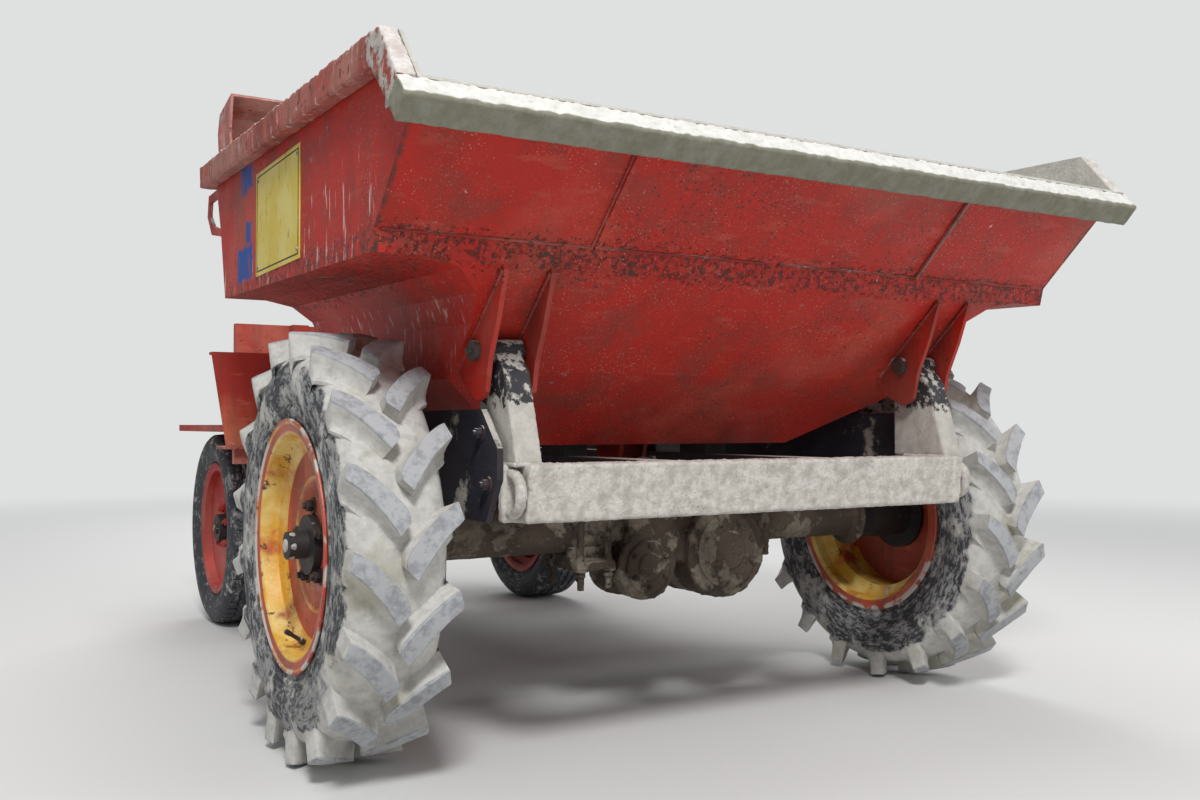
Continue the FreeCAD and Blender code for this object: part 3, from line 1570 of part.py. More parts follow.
def make_steering_wheel():
    """The wheel on the column's top: ring, three spokes and a hub."""
    sine, cosine = column_axis()
    length = S.column_length.value
    base = V(0, COLUMN_FOOT.value + length * sine,
             S.column_foot_height.value + length * cosine)
    ring = S.wheel_ring_radius.value
    bar = S.wheel_ring_bar.value
    hub_top = S.wheel_hub_height.value
    hub = S.wheel_hub_radius.value
    spoke_radius = S.wheel_spoke_radius.value
    inside = hub - spoke_radius
    level = hub_top - S.wheel_spoke_drop.value
    shape = Part.makeTorus(ring, bar, V(0, 0, hub_top), V(0, 0, 1))
    shape = shape.fuse(Part.makeCylinder(hub, hub_top, V(0, 0, S.pin_clearance.value)))
    for angle in (30, 150, 270):
        turned = math.radians(angle)
        out = V(math.cos(turned), math.sin(turned), 0)
        spoke = Part.makeCylinder(spoke_radius, ring - inside, V(0, 0, level) + out * inside, out)
        shape = shape.fuse(spoke)
    wheel = DOC.addObject("Part::Feature", "steering_wheel")
    wheel.Shape = shape
    wheel.Placement = FreeCAD.Placement(base, FreeCAD.Rotation(V(1, 0, 0), -S.column_lean.value))
    node("steering_wheel", wheel)


def make_controls():
    """Two hand levers beside the column and three pedals on the floor plate."""
    floor = S.rail_top + S.sheet_plate
    y = FOOTBOARD_START + S.control_place
    pieces = []
    for name, x, height in (("tip", -S.tip_lever_offset, S.tip_lever_height),
                            ("gear", -S.gear_lever_offset, S.gear_lever_height)):
        end = floor + height
        stick = rod("lever_" + name, "z", (x, y), floor, end, S.lever_radius)
        knob = rod("lever_knob_" + name, "z", (x, y), end, end + S.knob_height, S.knob_radius)
        pieces.append(fuse("lever_joined_" + name, stick, knob))
    for name, x in (("clutch", S.clutch_offset), ("brake", S.brake_offset),
                    ("throttle", -S.throttle_offset)):
        half = S.lever_radius
        arm_back = y + S.pedal_plate
        arm = box("pedal_arm_" + name, (x - half, x + half), (y, arm_back),
                  (floor, floor + S.pedal_arm))
        half = S.pedal_half_width
        pad = box("pedal_pad_" + name, (x - half, x + half), (arm_back, arm_back + S.pedal_plate),
                  (floor + S.pedal_low, floor + S.pedal_top))
        pieces.append(fuse("pedal_joined_" + name, arm, pad))
    node("controls", group("controls", *pieces))


def make_rear_axle():
    """The rear beam on its pivot, with a fork at each end for the kingpins."""
    half_depth = S.rear_beam_depth / 2
    half_height = S.rear_beam_height / 2
    end = S.rear_beam_end
    beam = box("beam_bar", (-end, end), (REAR - half_depth, REAR + half_depth),
               (REAR_Z - half_height, REAR_Z + half_height))
    bore = rod("beam_bore", "y", (0, REAR_Z), REAR - half_depth, REAR + half_depth,
               S.beam_pivot_radius + S.pin_clearance)
    pieces = [cut("beam_bored", beam, bore)]
    tip = S.kingpin_offset + S.fork_half_depth
    plate = S.fork_plate
    deep = S.fork_half_depth
    for side, sign in sides():
        for name, low in (("low", REAR_Z - half_height), ("top", REAR_Z + half_height - plate)):
            pieces.append(box("fork_%s_%s" % (name, side), span(sign, end, tip),
                              (REAR - deep, REAR + deep), (low, low + plate)))
    node("rear_axle", fuse("rear_axle", *pieces))


def make_knuckle(side, sign):
    """A kingpin barrel, its stub axle and its steering arm."""
    half = S.rear_beam_height / 2 - S.fork_plate - S.pin_clearance
    x = S.kingpin_offset * sign
    name = "knuckle_" + side
    barrel = rod(name + "_barrel", "z", (x, REAR), REAR_Z - half, REAR_Z + half, S.kingpin_radius)
    reach = S.rear_wheel_offset + S.stub_spare
    stub = rod(name + "_stub", "x", (REAR, REAR_Z), *span(sign, S.kingpin_offset, reach),
               S.stub_radius)
    arm_low = REAR_Z - half
    wide = S.arm_half_width
    arm_top = arm_low + S.fork_plate
    arm = box(name + "_arm", (x - wide, x + wide), (REAR, REAR + S.steer_arm + S.tie_eye_radius),
              (arm_low, arm_top))
    ball = rod(name + "_ball", "z", (x, REAR + S.steer_arm), arm_top, arm_top + S.ball_rise,
               S.ball_radius)
    node(name, fuse(name, barrel, stub, arm, ball))


def make_tie_rod():
    """The bar that joins the two steering arms."""
    half = S.rear_beam_height / 2 - S.fork_plate - S.pin_clearance
    z = REAR_Z - half + S.fork_plate + S.tie_rise
    y = REAR + S.steer_arm
    bar = rod("tie_bar", "x", (y, z), -S.kingpin_offset, S.kingpin_offset, S.tie_bar_radius)
    half_eye = S.tie_rise - S.ball_rise
    eyes = [
        rod("tie_eye_" + side, "z", (S.kingpin_offset * sign, y), z - half_eye + S.pin_clearance,
            z + half_eye, S.tie_eye_radius)
        for side, sign in sides()
    ]
    node("tie_rod", fuse("tie_rod", bar, *eyes))


def check_objects():
    """Stop where an object failed or a sub-part's shape is empty or broken."""
    failed = [item.Name for item in DOC.Objects
              if "Invalid" in item.State or "Error" in item.State]
    if failed:
        raise RuntimeError("objects failed: %s" % ", ".join(failed))
    for item in NODES:
        shape = item.Shape
        if shape.isNull() or not shape.isValid() or not shape.Solids:
            raise RuntimeError("no sound solid in %s" % item.Label)


def main():
    for side, sign in sides():
        make_wheel("front", side, sign)
        make_wheel("rear", side, sign)
        make_knuckle(side, sign)
    make_front_axle()
    make_gear_case()
    make_axle_clamp()
    make_chassis_frame()
    make_side_plates()
    make_front_beam()
    make_lashing_loops()
    make_skip_posts()
    make_skip_rests()
    outer_skip = make_skip_tub()
    make_skip_lip()
    make_panel_ribs(outer_skip)
    skip_body = solid_feature("skip_outside", outer_skip)
    rim = node("skip_rim", cut("skip_rim", make_skip_rim(), skip_body))
    node("spill_guard", cut("spill_guard", make_spill_guard(), skip_body, rim))
    node("skip_handles", cut("skip_handles", make_skip_handles(), skip_body))
    make_skip_ears(skip_body)
    make_hinge_pins()
    make_rod_bracket()
    make_ram()
    make_driveline()
    make_engine()
    make_tanks()
    make_footboard()
    make_rear_fenders()
    make_rear_guard()
    make_seat()
    make_steering_column()
    make_steering_wheel()
    make_controls()
    make_rear_axle()
    make_tie_rod()
    DOC.recompute()
    check_objects()
    os.makedirs("parts", exist_ok=True)
    for item in NODES:
        item.Shape.exportStep(os.path.join("parts", item.Label + ".step"))
    print("%d sub-parts written" % len(NODES))


main()
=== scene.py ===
"""Looks of the site dumper: weathered paint, cement crust, lugged tyres, seat and engine trim.

Metres, in the row's frame: +Z up, -Y the machine's front, +X its left. Sizes come from the
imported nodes' boxes and from the joints' pivots wherever a piece sits on one of them.
"""

import json
import logging
import math
import random
from dataclasses import dataclass
from enum import Enum
from statistics import NormalDist
from typing import Callable, Iterable, Optional, Sequence, Union

import bmesh
import bpy
from mathutils import Matrix, Vector, noise
from mathutils.bvhtree import BVHTree


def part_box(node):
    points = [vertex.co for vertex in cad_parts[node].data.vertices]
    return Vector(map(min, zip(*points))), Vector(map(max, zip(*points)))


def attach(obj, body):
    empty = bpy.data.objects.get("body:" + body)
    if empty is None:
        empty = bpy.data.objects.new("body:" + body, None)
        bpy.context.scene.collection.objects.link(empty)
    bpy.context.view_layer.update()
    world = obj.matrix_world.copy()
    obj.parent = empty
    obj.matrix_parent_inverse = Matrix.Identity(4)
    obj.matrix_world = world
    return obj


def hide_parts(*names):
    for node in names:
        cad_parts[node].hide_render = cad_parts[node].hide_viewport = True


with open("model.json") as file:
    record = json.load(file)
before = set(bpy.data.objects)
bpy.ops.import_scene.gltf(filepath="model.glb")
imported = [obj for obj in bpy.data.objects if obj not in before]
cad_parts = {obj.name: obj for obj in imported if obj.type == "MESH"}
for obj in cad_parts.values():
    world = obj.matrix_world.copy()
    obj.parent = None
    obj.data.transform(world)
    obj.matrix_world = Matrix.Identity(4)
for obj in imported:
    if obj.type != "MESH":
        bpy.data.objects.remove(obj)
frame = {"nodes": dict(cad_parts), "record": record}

LOG = logging.getLogger("dumper")
JOINTS = {joint["name"]: joint for joint in frame["record"]["behaviour"]["joints"]}

Rgb = tuple[float, float, float]
Socket = bpy.types.NodeSocket
Value = Union[float, Rgb, Socket]
Spot = tuple[float, float, float]

CEMENT: Rgb = (0.50, 0.485, 0.445)
CEMENT_DARK: Rgb = (0.40, 0.385, 0.345)
CEMENT_PIT: Rgb = (0.15, 0.13, 0.105)
# painted shade: the olive-grey that cement is given on faces that look down
CEMENT_PAINTED_SHADE: Rgb = (0.195, 0.190, 0.135)
SCRATCH: Rgb = (0.72, 0.50, 0.46)
RUST: Rgb = (0.115, 0.045, 0.022)
GRIME: Rgb = (0.045, 0.034, 0.028)
BLUE_PAINT: Rgb = (0.02, 0.075, 0.32)


class Side(Enum):
    """The two sides of the machine; the value is the sign of X."""

    LEFT = 1
    RIGHT = -1

    @property
    def tag(self) -> str:
        """The word that names of this side's pieces end in."""
        return self.name.lower()


class Axis(Enum):
    """An axis of the frame, by its output on a Separate XYZ node."""

    X = "X"
    Y = "Y"
    Z = "Z"


class Slot(Enum):
    """The record's material slots, one named with each added piece."""

    RED = "red_paint"
    SKIP = "skip_paint"
    BLACK = "black_paint"
    STEEL = "bare_steel"
    IRON = "cast_iron"
    TYRE = "tyre_rubber"
    VINYL = "seat_vinyl"
    GRIP = "grip_plastic"
    RUBBER = "rest_rubber"


def pivot(joint: str) -> Vector:
    """The place of a joint's axis in the frame."""
    return Vector(JOINTS[joint]["pos_m"])


class Shader:
    """Builds one procedural material, node by node, in object space."""

    def __init__(self, name: str) -> None:
        """Start a material with its surface shader and coordinates.

        Args:
            name: the material's name.
        """
        self.material = bpy.data.materials.new(name)
        self.material.use_nodes = True
        tree = self.material.node_tree
        self.nodes = tree.nodes
        self.links = tree.links
        self.skin = self.nodes["Principled BSDF"]
        spots = self.nodes.new("ShaderNodeTexCoord")
        self.place = spots.outputs["Object"]
        self.normal = spots.outputs["Normal"]

    def wire(self, value: Value, socket: Socket) -> None:
        """Link a socket to a value, or set it there.

        Args:
            value: a number, a colour or another node's output.
            socket: the input that takes it.
        """
        if isinstance(value, bpy.types.NodeSocket):
            self.links.new(value, socket)
        elif isinstance(value, tuple) and len(socket.default_value) == 4:
            socket.default_value = (*value, 1.0)
        else:
            socket.default_value = value

    def sums(self, operation: str, one: Value, two: Value = 0.0) -> Socket:
        """One Math node.

        Args:
            operation: its operation's name.
            one: the first value.
            two: the second value.

        Returns:
            The result's socket.
        """
        step = self.nodes.new("ShaderNodeMath")
        step.operation = operation
        self.wire(one, step.inputs[0])
        self.wire(two, step.inputs[1])
        return step.outputs[0]

    def times(self, one: Value, two: Value) -> Socket:
        """The product of two values."""
        return self.sums("MULTIPLY", one, two)

    def plus(self, one: Value, two: Value) -> Socket:
        """The sum of two values."""
        return self.sums("ADD", one, two)

    def minus(self, one: Value, two: Value) -> Socket:
        """The first value less the second."""
        return self.sums("SUBTRACT", one, two)

    def remap(self, value: Value, low: float, high: float) -> Socket:
        """A smooth step from 0 at low to 1 at high; low may be the larger.

        Args:
            value: what is mapped.
            low: where the result is 0.
            high: where the result is 1.

        Returns:
            The step's socket.
        """
        step = self.nodes.new("ShaderNodeMapRange")
        step.interpolation_type = "SMOOTHSTEP"
        ends = (low, high, 0.0, 1.0) if low < high else (high, low, 1.0, 0.0)
        for index, end in enumerate(ends, start=1):
            step.inputs[index].default_value = end
        self.wire(value, step.inputs[0])
        return step.outputs[0]

    def noise(self, scale: float, detail: float = 4.0, stretch: Spot = (1.0, 1.0, 1.0),
              shift: float = 0.0, rough: float = 0.55,
              where: Optional[Socket] = None) -> Socket:
        """A cloud texture in object space.

        Args:
            scale: waves per metre.
            detail: octaves.
            stretch: how much denser the texture is along each axis.
            shift: moves the texture, so that two layers differ.
            rough: weight of the finer octaves.
            where: other coordinates to take than the object's own.

        Returns:
            The texture's value, about 0.5 on average.
        """
        spots = self.nodes.new("ShaderNodeMapping")
        spots.inputs["Scale"].default_value = stretch
        spots.inputs["Location"].default_value = (shift, shift * 0.7, -shift)
        self.links.new(where or self.place, spots.inputs["Vector"])
        cloud = self.nodes.new("ShaderNodeTexNoise")
        cloud.inputs["Scale"].default_value = scale
        cloud.inputs["Detail"].default_value = detail
        cloud.inputs["Roughness"].default_value = rough
        self.links.new(spots.outputs["Vector"], cloud.inputs["Vector"])
        return cloud.outputs[0]

    def cells(self, scale: float) -> Socket:
        """Distance to the nearest of many scattered points."""
        dots = self.nodes.new("ShaderNodeTexVoronoi")
        dots.inputs["Scale"].default_value = scale
        self.links.new(self.place, dots.inputs["Vector"])
        return dots.outputs["Distance"]

    def cover(self, cloud: Value, share: float, soft: float = 0.03) -> Socket:
        """A mask that a cloud texture fills to about a given share.

        Args:
            cloud: the texture's value.
            share: the part of the surface to cover, over 0 and under 1.
            soft: half the width of the mask's edge.

        Returns:
            The mask's socket.
        """
        level = 0.5 + 0.115 * NormalDist().inv_cdf(1 - share)
        return self.remap(cloud, level - soft, level + soft)

    def blend(self, share: Value, under: Value, over: Value) -> Socket:
        """One colour laid over another.

        Args:
            share: how much of the upper colour shows.
            under: the lower colour.
            over: the upper colour.

        Returns:
            The mixed colour's socket.
        """
        mix = self.nodes.new("ShaderNodeMix")
        mix.data_type = "RGBA"
        self.wire(share, mix.inputs[0])
        self.wire(under, mix.inputs[6])
        self.wire(over, mix.inputs[7])
        return mix.outputs[2]

    def part(self, vector: Socket, axis: Axis) -> Socket:
        """One coordinate of a vector."""
        split = self.nodes.new("ShaderNodeSeparateXYZ")
        self.links.new(vector, split.inputs[0])
        return split.outputs[axis.value]

    def along(self, axis: Axis) -> Socket:
        """The place on the surface along one axis, in metres."""
        return self.part(self.place, axis)

    def from_axle(self, centre: Vector) -> Socket:
        """Distance from a line along X through a centre."""
        y = self.minus(self.along(Axis.Y), centre.y)
        z = self.minus(self.along(Axis.Z), centre.z)
        return self.sums("SQRT", self.plus(self.times(y, y),
                                           self.times(z, z)))

    def wound(self, centre: Vector) -> Socket:
        """Coordinates wound round a line along X: across, along the turn in metres, outwards.

        Args:
            centre: a point on the line.

        Returns:
            The coordinates' socket.
        """
        y = self.minus(self.along(Axis.Y), centre.y)
        z = self.minus(self.along(Axis.Z), centre.z)
        turn = self.times(self.sums("ARCTAN2", y, z), centre.z)
        join = self.nodes.new("ShaderNodeCombineXYZ")
        for value, socket in zip((self.along(Axis.X), turn, self.from_axle(centre)), join.inputs):
            self.wire(value, socket)
        return join.outputs[0]

    def facing(self, centre: Spot) -> Socket:
        """How far the surface faces towards a point.

        Args:
            centre: the point in the shared frame.

        Returns:
            The dot product of the normal with the way there.
        """
        way = self.nodes.new("ShaderNodeVectorMath")
        way.operation = "SUBTRACT"
        way.inputs[0].default_value = centre
        self.links.new(self.place, way.inputs[1])
        dot = self.nodes.new("ShaderNodeVectorMath")
        dot.operation = "DOT_PRODUCT"
        self.links.new(way.outputs[0], dot.inputs[0])
        self.links.new(self.normal, dot.inputs[1])
        return dot.outputs["Value"]

    def edges(self, radius: float) -> Socket:
        """A mask along sharp edges, from the rounded surface's normal.

        Args:
            radius: the width of the edge in metres.

        Returns:
            The mask, one on the edge.
        """
        bevel = self.nodes.new("ShaderNodeBevel")
        bevel.samples = 4
        bevel.inputs["Radius"].default_value = radius
        true = self.nodes.new("ShaderNodeNewGeometry")
        dot = self.nodes.new("ShaderNodeVectorMath")
        dot.operation = "DOT_PRODUCT"
        self.links.new(bevel.outputs[0], dot.inputs[0])
        self.links.new(true.outputs["Normal"], dot.inputs[1])
        return self.remap(dot.outputs["Value"], 0.995, 0.90)

    def relief(self, height: Value, depth: float, strength: float = 1.0) -> None:
        """Raise the surface's shading by a height texture.

        Args:
            height: the texture.
            depth: its depth in metres.
            strength: how strongly it shades.
        """
        bump = self.nodes.new("ShaderNodeBump")
        bump.inputs["Strength"].default_value = strength
        bump.inputs["Distance"].default_value = depth
        self.wire(height, bump.inputs["Height"])
        self.links.new(bump.outputs[0], self.skin.inputs["Normal"])

    def close(self, colour: Value, roughness: Value, metallic: Value = 0.0) -> bpy.types.Material:
        """Wire the surface shader.

        Args:
            colour: base colour.
            roughness: its roughness.
            metallic: its metallic share.

        Returns:
            The finished material.
        """
        self.wire(colour, self.skin.inputs["Base Color"])
        self.wire(roughness, self.skin.inputs["Roughness"])
        self.wire(metallic, self.skin.inputs["Metallic"])
        return self.material


@dataclass(frozen=True)
class Zone:
    """A stretch along an axis where cement builds up: none at start, all of lift at end."""

    axis: Axis
    start: float
    end: float
    lift: float


@dataclass(frozen=True)
class Finish:
    """What a surface is coated with, how far work on building sites has worn it, and how much
    shade is painted on its cement.
    """

    name: str
    base: Rgb
    faded: Rgb
    chip: Rgb = RUST
    fade: float = 0.35
    chips: float = 0.08
    streaks: float = 0.35
    splash: float = 0.08
    dust: float = 0.5
    specks: float = 0.25
    edge: float = 0.5
    roughness: float = 0.55
    metallic: float = 0.0
    depth: float = 0.004
    crust: Rgb = CEMENT
    crust_dark: Rgb = CEMENT_DARK
    pits: float = 0.35
    shine: float = 0.30
    grain: float = 8.5
    scratch: float = 0.0
    # how strongly painted shade darkens the cement on faces that look down
    painted_shade: float = 0.0
    zones: tuple[Zone, ...] = ()

    def tone(self, shader: Shader) -> Socket:
        """The worn coat's colour before any cement lies on it.

        Args:
            shader: the material being built.

        Returns:
            The colour's socket.
        """
        tone = shader.blend(shader.cover(shader.noise(2.3, 6.0, rough=0.6), self.fade, 0.10),
                            self.base, self.faded)
        chalk = shader.cover(shader.noise(26.0, 5.0, (0.35, 0.35, 1.6), 2.0), 0.14, 0.05)
        tone = shader.blend(shader.times(chalk, 0.55), tone, self.faded)
        run = shader.cover(shader.noise(13.0, 5.0, (1.0, 1.0, 0.16), 5.0), 0.34, 0.12)
        tone = shader.blend(shader.times(run, self.streaks), tone, GRIME)
        if self.edge:
            worn = shader.times(shader.edges(0.006),
                                shader.cover(shader.noise(30.0, 3.0, shift=9.0), 0.62, 0.08))
            tone = shader.blend(shader.times(worn, self.edge), tone, self.chip)
        if self.scratch:
            rubs = shader.noise(55.0, 6.0, (1.0, 1.0, 0.24), 17.0, 0.68)
            rubs = shader.times(shader.cover(rubs, self.scratch, 0.07), 0.75)
            tone = shader.blend(rubs, tone, SCRATCH)
        nicks = shader.cover(shader.noise(48.0, 6.0, shift=3.0, rough=0.7), self.chips, 0.02)
        return shader.blend(nicks, tone, self.chip)

    def caked(self, shader: Shader) -> Socket:
        """The mask of cement: splashes, the zones that it fills, and dust on upward faces.

        Args:
            shader: the material being built.

        Returns:
            The mask's socket.
        """
        cloud: Value = shader.noise(self.grain, 9.0, shift=7.0, rough=0.66)
        for zone in self.zones:
            step = shader.remap(shader.along(zone.axis), zone.start, zone.end)
            cloud = shader.plus(cloud, shader.times(step, zone.lift))
        up = shader.remap(shader.part(shader.normal, Axis.Z), 0.25, 0.95)
        cloud = shader.plus(cloud, shader.times(up, self.dust * 0.45))
        return shader.cover(cloud, self.splash, 0.035)

    def cement(self, shader: Shader, lumps: Socket) -> Socket:
        """The cement's colour: two close tones with dark pits, and painted shade on faces that
        look down.

        Args:
            shader: the material being built.
            lumps: a cloud texture of its lumps.

        Returns:
            The colour's socket.
        """
        pale = shader.blend(shader.cover(lumps, 0.42, 0.14), self.crust, self.crust_dark)
        grit = shader.cover(shader.noise(130.0, 3.0, shift=19.0, rough=0.7), 0.30, 0.12)
        pale = shader.blend(shader.times(grit, 0.6), pale, self.crust_dark)
        # painted shade: darken the cement on faces that look down towards the olive shade colour
        if self.painted_shade:
            down = shader.remap(shader.part(shader.normal, Axis.Z), 0.60, 0.25)
            patchy = shader.plus(0.7, shader.times(lumps, 0.5))
            down = shader.times(shader.times(down, patchy), self.painted_shade)
            pale = shader.blend(down, pale, CEMENT_PAINTED_SHADE)
        holes = shader.cover(shader.noise(95.0, 5.0, shift=29.0, rough=0.75), 0.085, 0.02)
        pits = shader.times(holes,
                            shader.cover(shader.noise(14.0, 4.0, shift=13.0), self.pits, 0.12))
        return shader.blend(shader.times(pits, 0.75), pale, CEMENT_PIT)

    def build(self) -> bpy.types.Material:
        """Make the material of this finish.

        Returns:
            The material.
        """
        shader = Shader(self.name)
        tone = self.tone(shader)
        caked = self.caked(shader)
        grit = shader.noise(170.0, 4.0, shift=1.0, rough=0.7)
        lumps = shader.noise(36.0, 6.0, shift=4.0, rough=0.65)
        pale = self.cement(shader, lumps)
        dots = shader.times(shader.remap(shader.cells(62.0), 0.20, 0.10),
                            shader.cover(shader.noise(5.0, 4.0, shift=6.0), self.specks, 0.06))
        tone = shader.blend(dots, tone, GRIME)
        colour = shader.blend(caked, tone, pale)
        rough = shader.plus(shader.times(caked, 0.92 - self.roughness),
                            shader.times(grit, 0.16))
        rough = shader.plus(rough, self.roughness - 0.08)
        metal = shader.times(shader.minus(1.0, caked), self.metallic)
        crust = shader.times(caked, shader.plus(0.5, lumps))
        height = shader.plus(crust, shader.times(grit, 0.30))
        height = shader.plus(height, shader.times(dots, 0.25))
        shader.relief(height, self.depth, 0.7)
        if not self.metallic:
            shader.wire(self.shine, shader.skin.inputs["Specular IOR Level"])
        return shader.close(colour, rough, metal if self.metallic else 0.0)


SKIP_RED: Rgb = (0.47, 0.019, 0.011)
SKIP_CHALK: Rgb = (0.50, 0.070, 0.045)
SKIP_DULL: Rgb = (0.125, 0.055, 0.036)
SKIP_BLOT: Rgb = (0.080, 0.060, 0.040)
BLACK: Rgb = (0.018, 0.020, 0.027)
BLACK_FADED: Rgb = (0.050, 0.052, 0.060)

FINISHES: tuple[Finish, ...] = (
    Finish("chassis_black", BLACK, BLACK_FADED, splash=0.12, dust=0.7, fade=0.4, chips=0.05,
           depth=0.003),
    Finish("side_plate_black", (0.014, 0.017, 0.030), (0.040, 0.045, 0.060), splash=0.10,
           dust=0.6, fade=0.4, specks=0.6, chips=0.04,
           zones=(Zone(Axis.Z, 0.60, 0.49, 0.10),)),
    Finish("post_black", BLACK, BLACK_FADED, splash=0.30, dust=0.2, specks=0.2, pits=0.6,
           grain=52.0, zones=(Zone(Axis.Z, 0.735, 0.665, 0.42),), depth=0.003),
    Finish("beam_cement", (0.16, 0.12, 0.10), (0.25, 0.21, 0.18), splash=0.98, dust=0.3,
           specks=0.6, chips=0.05, depth=0.007, pits=0.97, edge=0.0,
           crust=(0.60, 0.575, 0.53), crust_dark=(0.40, 0.375, 0.335)),
    # the lip's cement: a pale crust matching its lit top, with strong painted shade on its faces
    # that look down
    Finish("lip_cement", SKIP_RED, SKIP_CHALK, splash=0.97, dust=0.6, specks=0.3, chips=0.10,
           crust=(0.68, 0.67, 0.64), crust_dark=(0.56, 0.55, 0.51), depth=0.005, pits=0.4,
           edge=0.0, painted_shade=0.95),
    # the rim's cement: weaker painted shade on its faces that look down
    Finish("rim_cement", (0.36, 0.055, 0.042), (0.42, 0.17, 0.13), fade=0.55, splash=0.12,
           dust=1.2, specks=0.4, chips=0.16, streaks=0.35, edge=0.0, grain=26.0, scratch=0.13,
           crust=(0.62, 0.59, 0.56), crust_dark=(0.46, 0.40, 0.37), depth=0.003, painted_shade=0.25,
           zones=(Zone(Axis.Y, -1.19, -1.30, 0.16),)),
    Finish("axle_crust", (0.060, 0.042, 0.030), (0.11, 0.085, 0.062), splash=0.40, dust=0.3,
           chip=(0.05, 0.035, 0.025), specks=0.7, roughness=0.8, edge=0.0, pits=0.8,
           grain=14.0, crust=(0.215, 0.190, 0.150), crust_dark=(0.13, 0.108, 0.080),
           depth=0.007),
    Finish("ear_red", SKIP_RED, SKIP_CHALK, splash=0.05, dust=0.2, specks=0.5, chips=0.12,
           streaks=0.5, depth=0.003),
    Finish("handle_red", SKIP_RED, (0.56, 0.20, 0.16), splash=0.05, dust=0.3, chips=0.14,
           streaks=0.3, scratch=0.12, depth=0.002),
    Finish("guard_red", (0.43, 0.06, 0.045), (0.60, 0.30, 0.26), fade=0.5, splash=0.10,
           dust=0.6, chips=0.10, scratch=0.10, depth=0.003),
    Finish("deck_red", (0.42, 0.034, 0.022), (0.50, 0.13, 0.09), splash=0.05, dust=0.30,
           chips=0.08, depth=0.002),
    Finish("toe_board_red", (0.42, 0.034, 0.024), (0.62, 0.17, 0.09), splash=0.03, dust=0.4,
           fade=0.45, chips=0.06, zones=(Zone(Axis.Z, 0.66, 0.61, 0.20),), depth=0.002),
    Finish("ballast_red", (0.36, 0.030, 0.022), (0.50, 0.13, 0.10), splash=0.06, dust=0.3,
           chips=0.16, depth=0.003),
    Finish("rear_rim_red", (0.40, 0.026, 0.022), (0.52, 0.11, 0.09), splash=0.06, dust=0.2,
           chips=0.07, depth=0.002),
    Finish("hub_black", (0.020, 0.020, 0.022), (0.06, 0.055, 0.05), splash=0.12, dust=0.2,
           chips=0.12, edge=0.3, depth=0.002),
    Finish("worn_steel", (0.38, 0.37, 0.35), (0.26, 0.24, 0.22), chip=(0.16, 0.08, 0.05),
           splash=0.08, metallic=0.85, roughness=0.42, fade=0.5, chips=0.12, edge=0.0,
           specks=0.2, depth=0.001),
    Finish("pin_steel", (0.10, 0.095, 0.090), (0.17, 0.15, 0.14), splash=0.06, metallic=0.6,
           roughness=0.5, edge=0.0, depth=0.001),
    Finish("ram_rod_steel", (0.55, 0.56, 0.57), (0.42, 0.41, 0.40), splash=0.05, metallic=1.0,
           roughness=0.22, fade=0.2, chips=0.02, streaks=0.1, specks=0.1, edge=0.0,
           depth=0.0005),
    Finish("engine_iron", (0.085, 0.088, 0.090), (0.15, 0.145, 0.14), splash=0.06, dust=0.7,
           metallic=0.3, roughness=0.6, chips=0.10, depth=0.003),
    Finish("cast_grey", (0.13, 0.125, 0.12), (0.20, 0.19, 0.175), splash=0.16, dust=0.7,
           metallic=0.2, roughness=0.7, chips=0.10, depth=0.004),
    Finish("exhaust_rust", (0.16, 0.070, 0.040), (0.25, 0.13, 0.08), splash=0.04, dust=0.4,
           chips=0.2, chip=(0.06, 0.03, 0.02), metallic=0.3, roughness=0.75, depth=0.002),
    Finish("tank_black", (0.022, 0.024, 0.028), (0.06, 0.06, 0.065), splash=0.14, dust=0.9,
           chips=0.06, depth=0.003),
    Finish("rest_rubber_worn", (0.022, 0.022, 0.022), (0.05, 0.05, 0.048), splash=0.20,
           edge=0.0, chips=0.02, roughness=0.8, depth=0.002),
    Finish("grip_black", (0.016, 0.016, 0.017), (0.05, 0.048, 0.045), splash=0.03, dust=0.2,
           fade=0.3, chips=0.02, specks=0.05, edge=0.0, roughness=0.5, depth=0.0006),
    Finish("weld_red", (0.30, 0.028, 0.022), (0.40, 0.10, 0.08), splash=0.10, chips=0.25,
           edge=0.0, depth=0.001),
    Finish("cap_pale", (0.50, 0.49, 0.47), (0.40, 0.39, 0.37), splash=0.10, chips=0.14,
           chip=(0.05, 0.05, 0.05), edge=0.4, specks=0.1, depth=0.001),
    Finish("sign_rim_black", (0.030, 0.027, 0.020), (0.07, 0.06, 0.04), splash=0.05, edge=0.0,
           depth=0.0005),
)


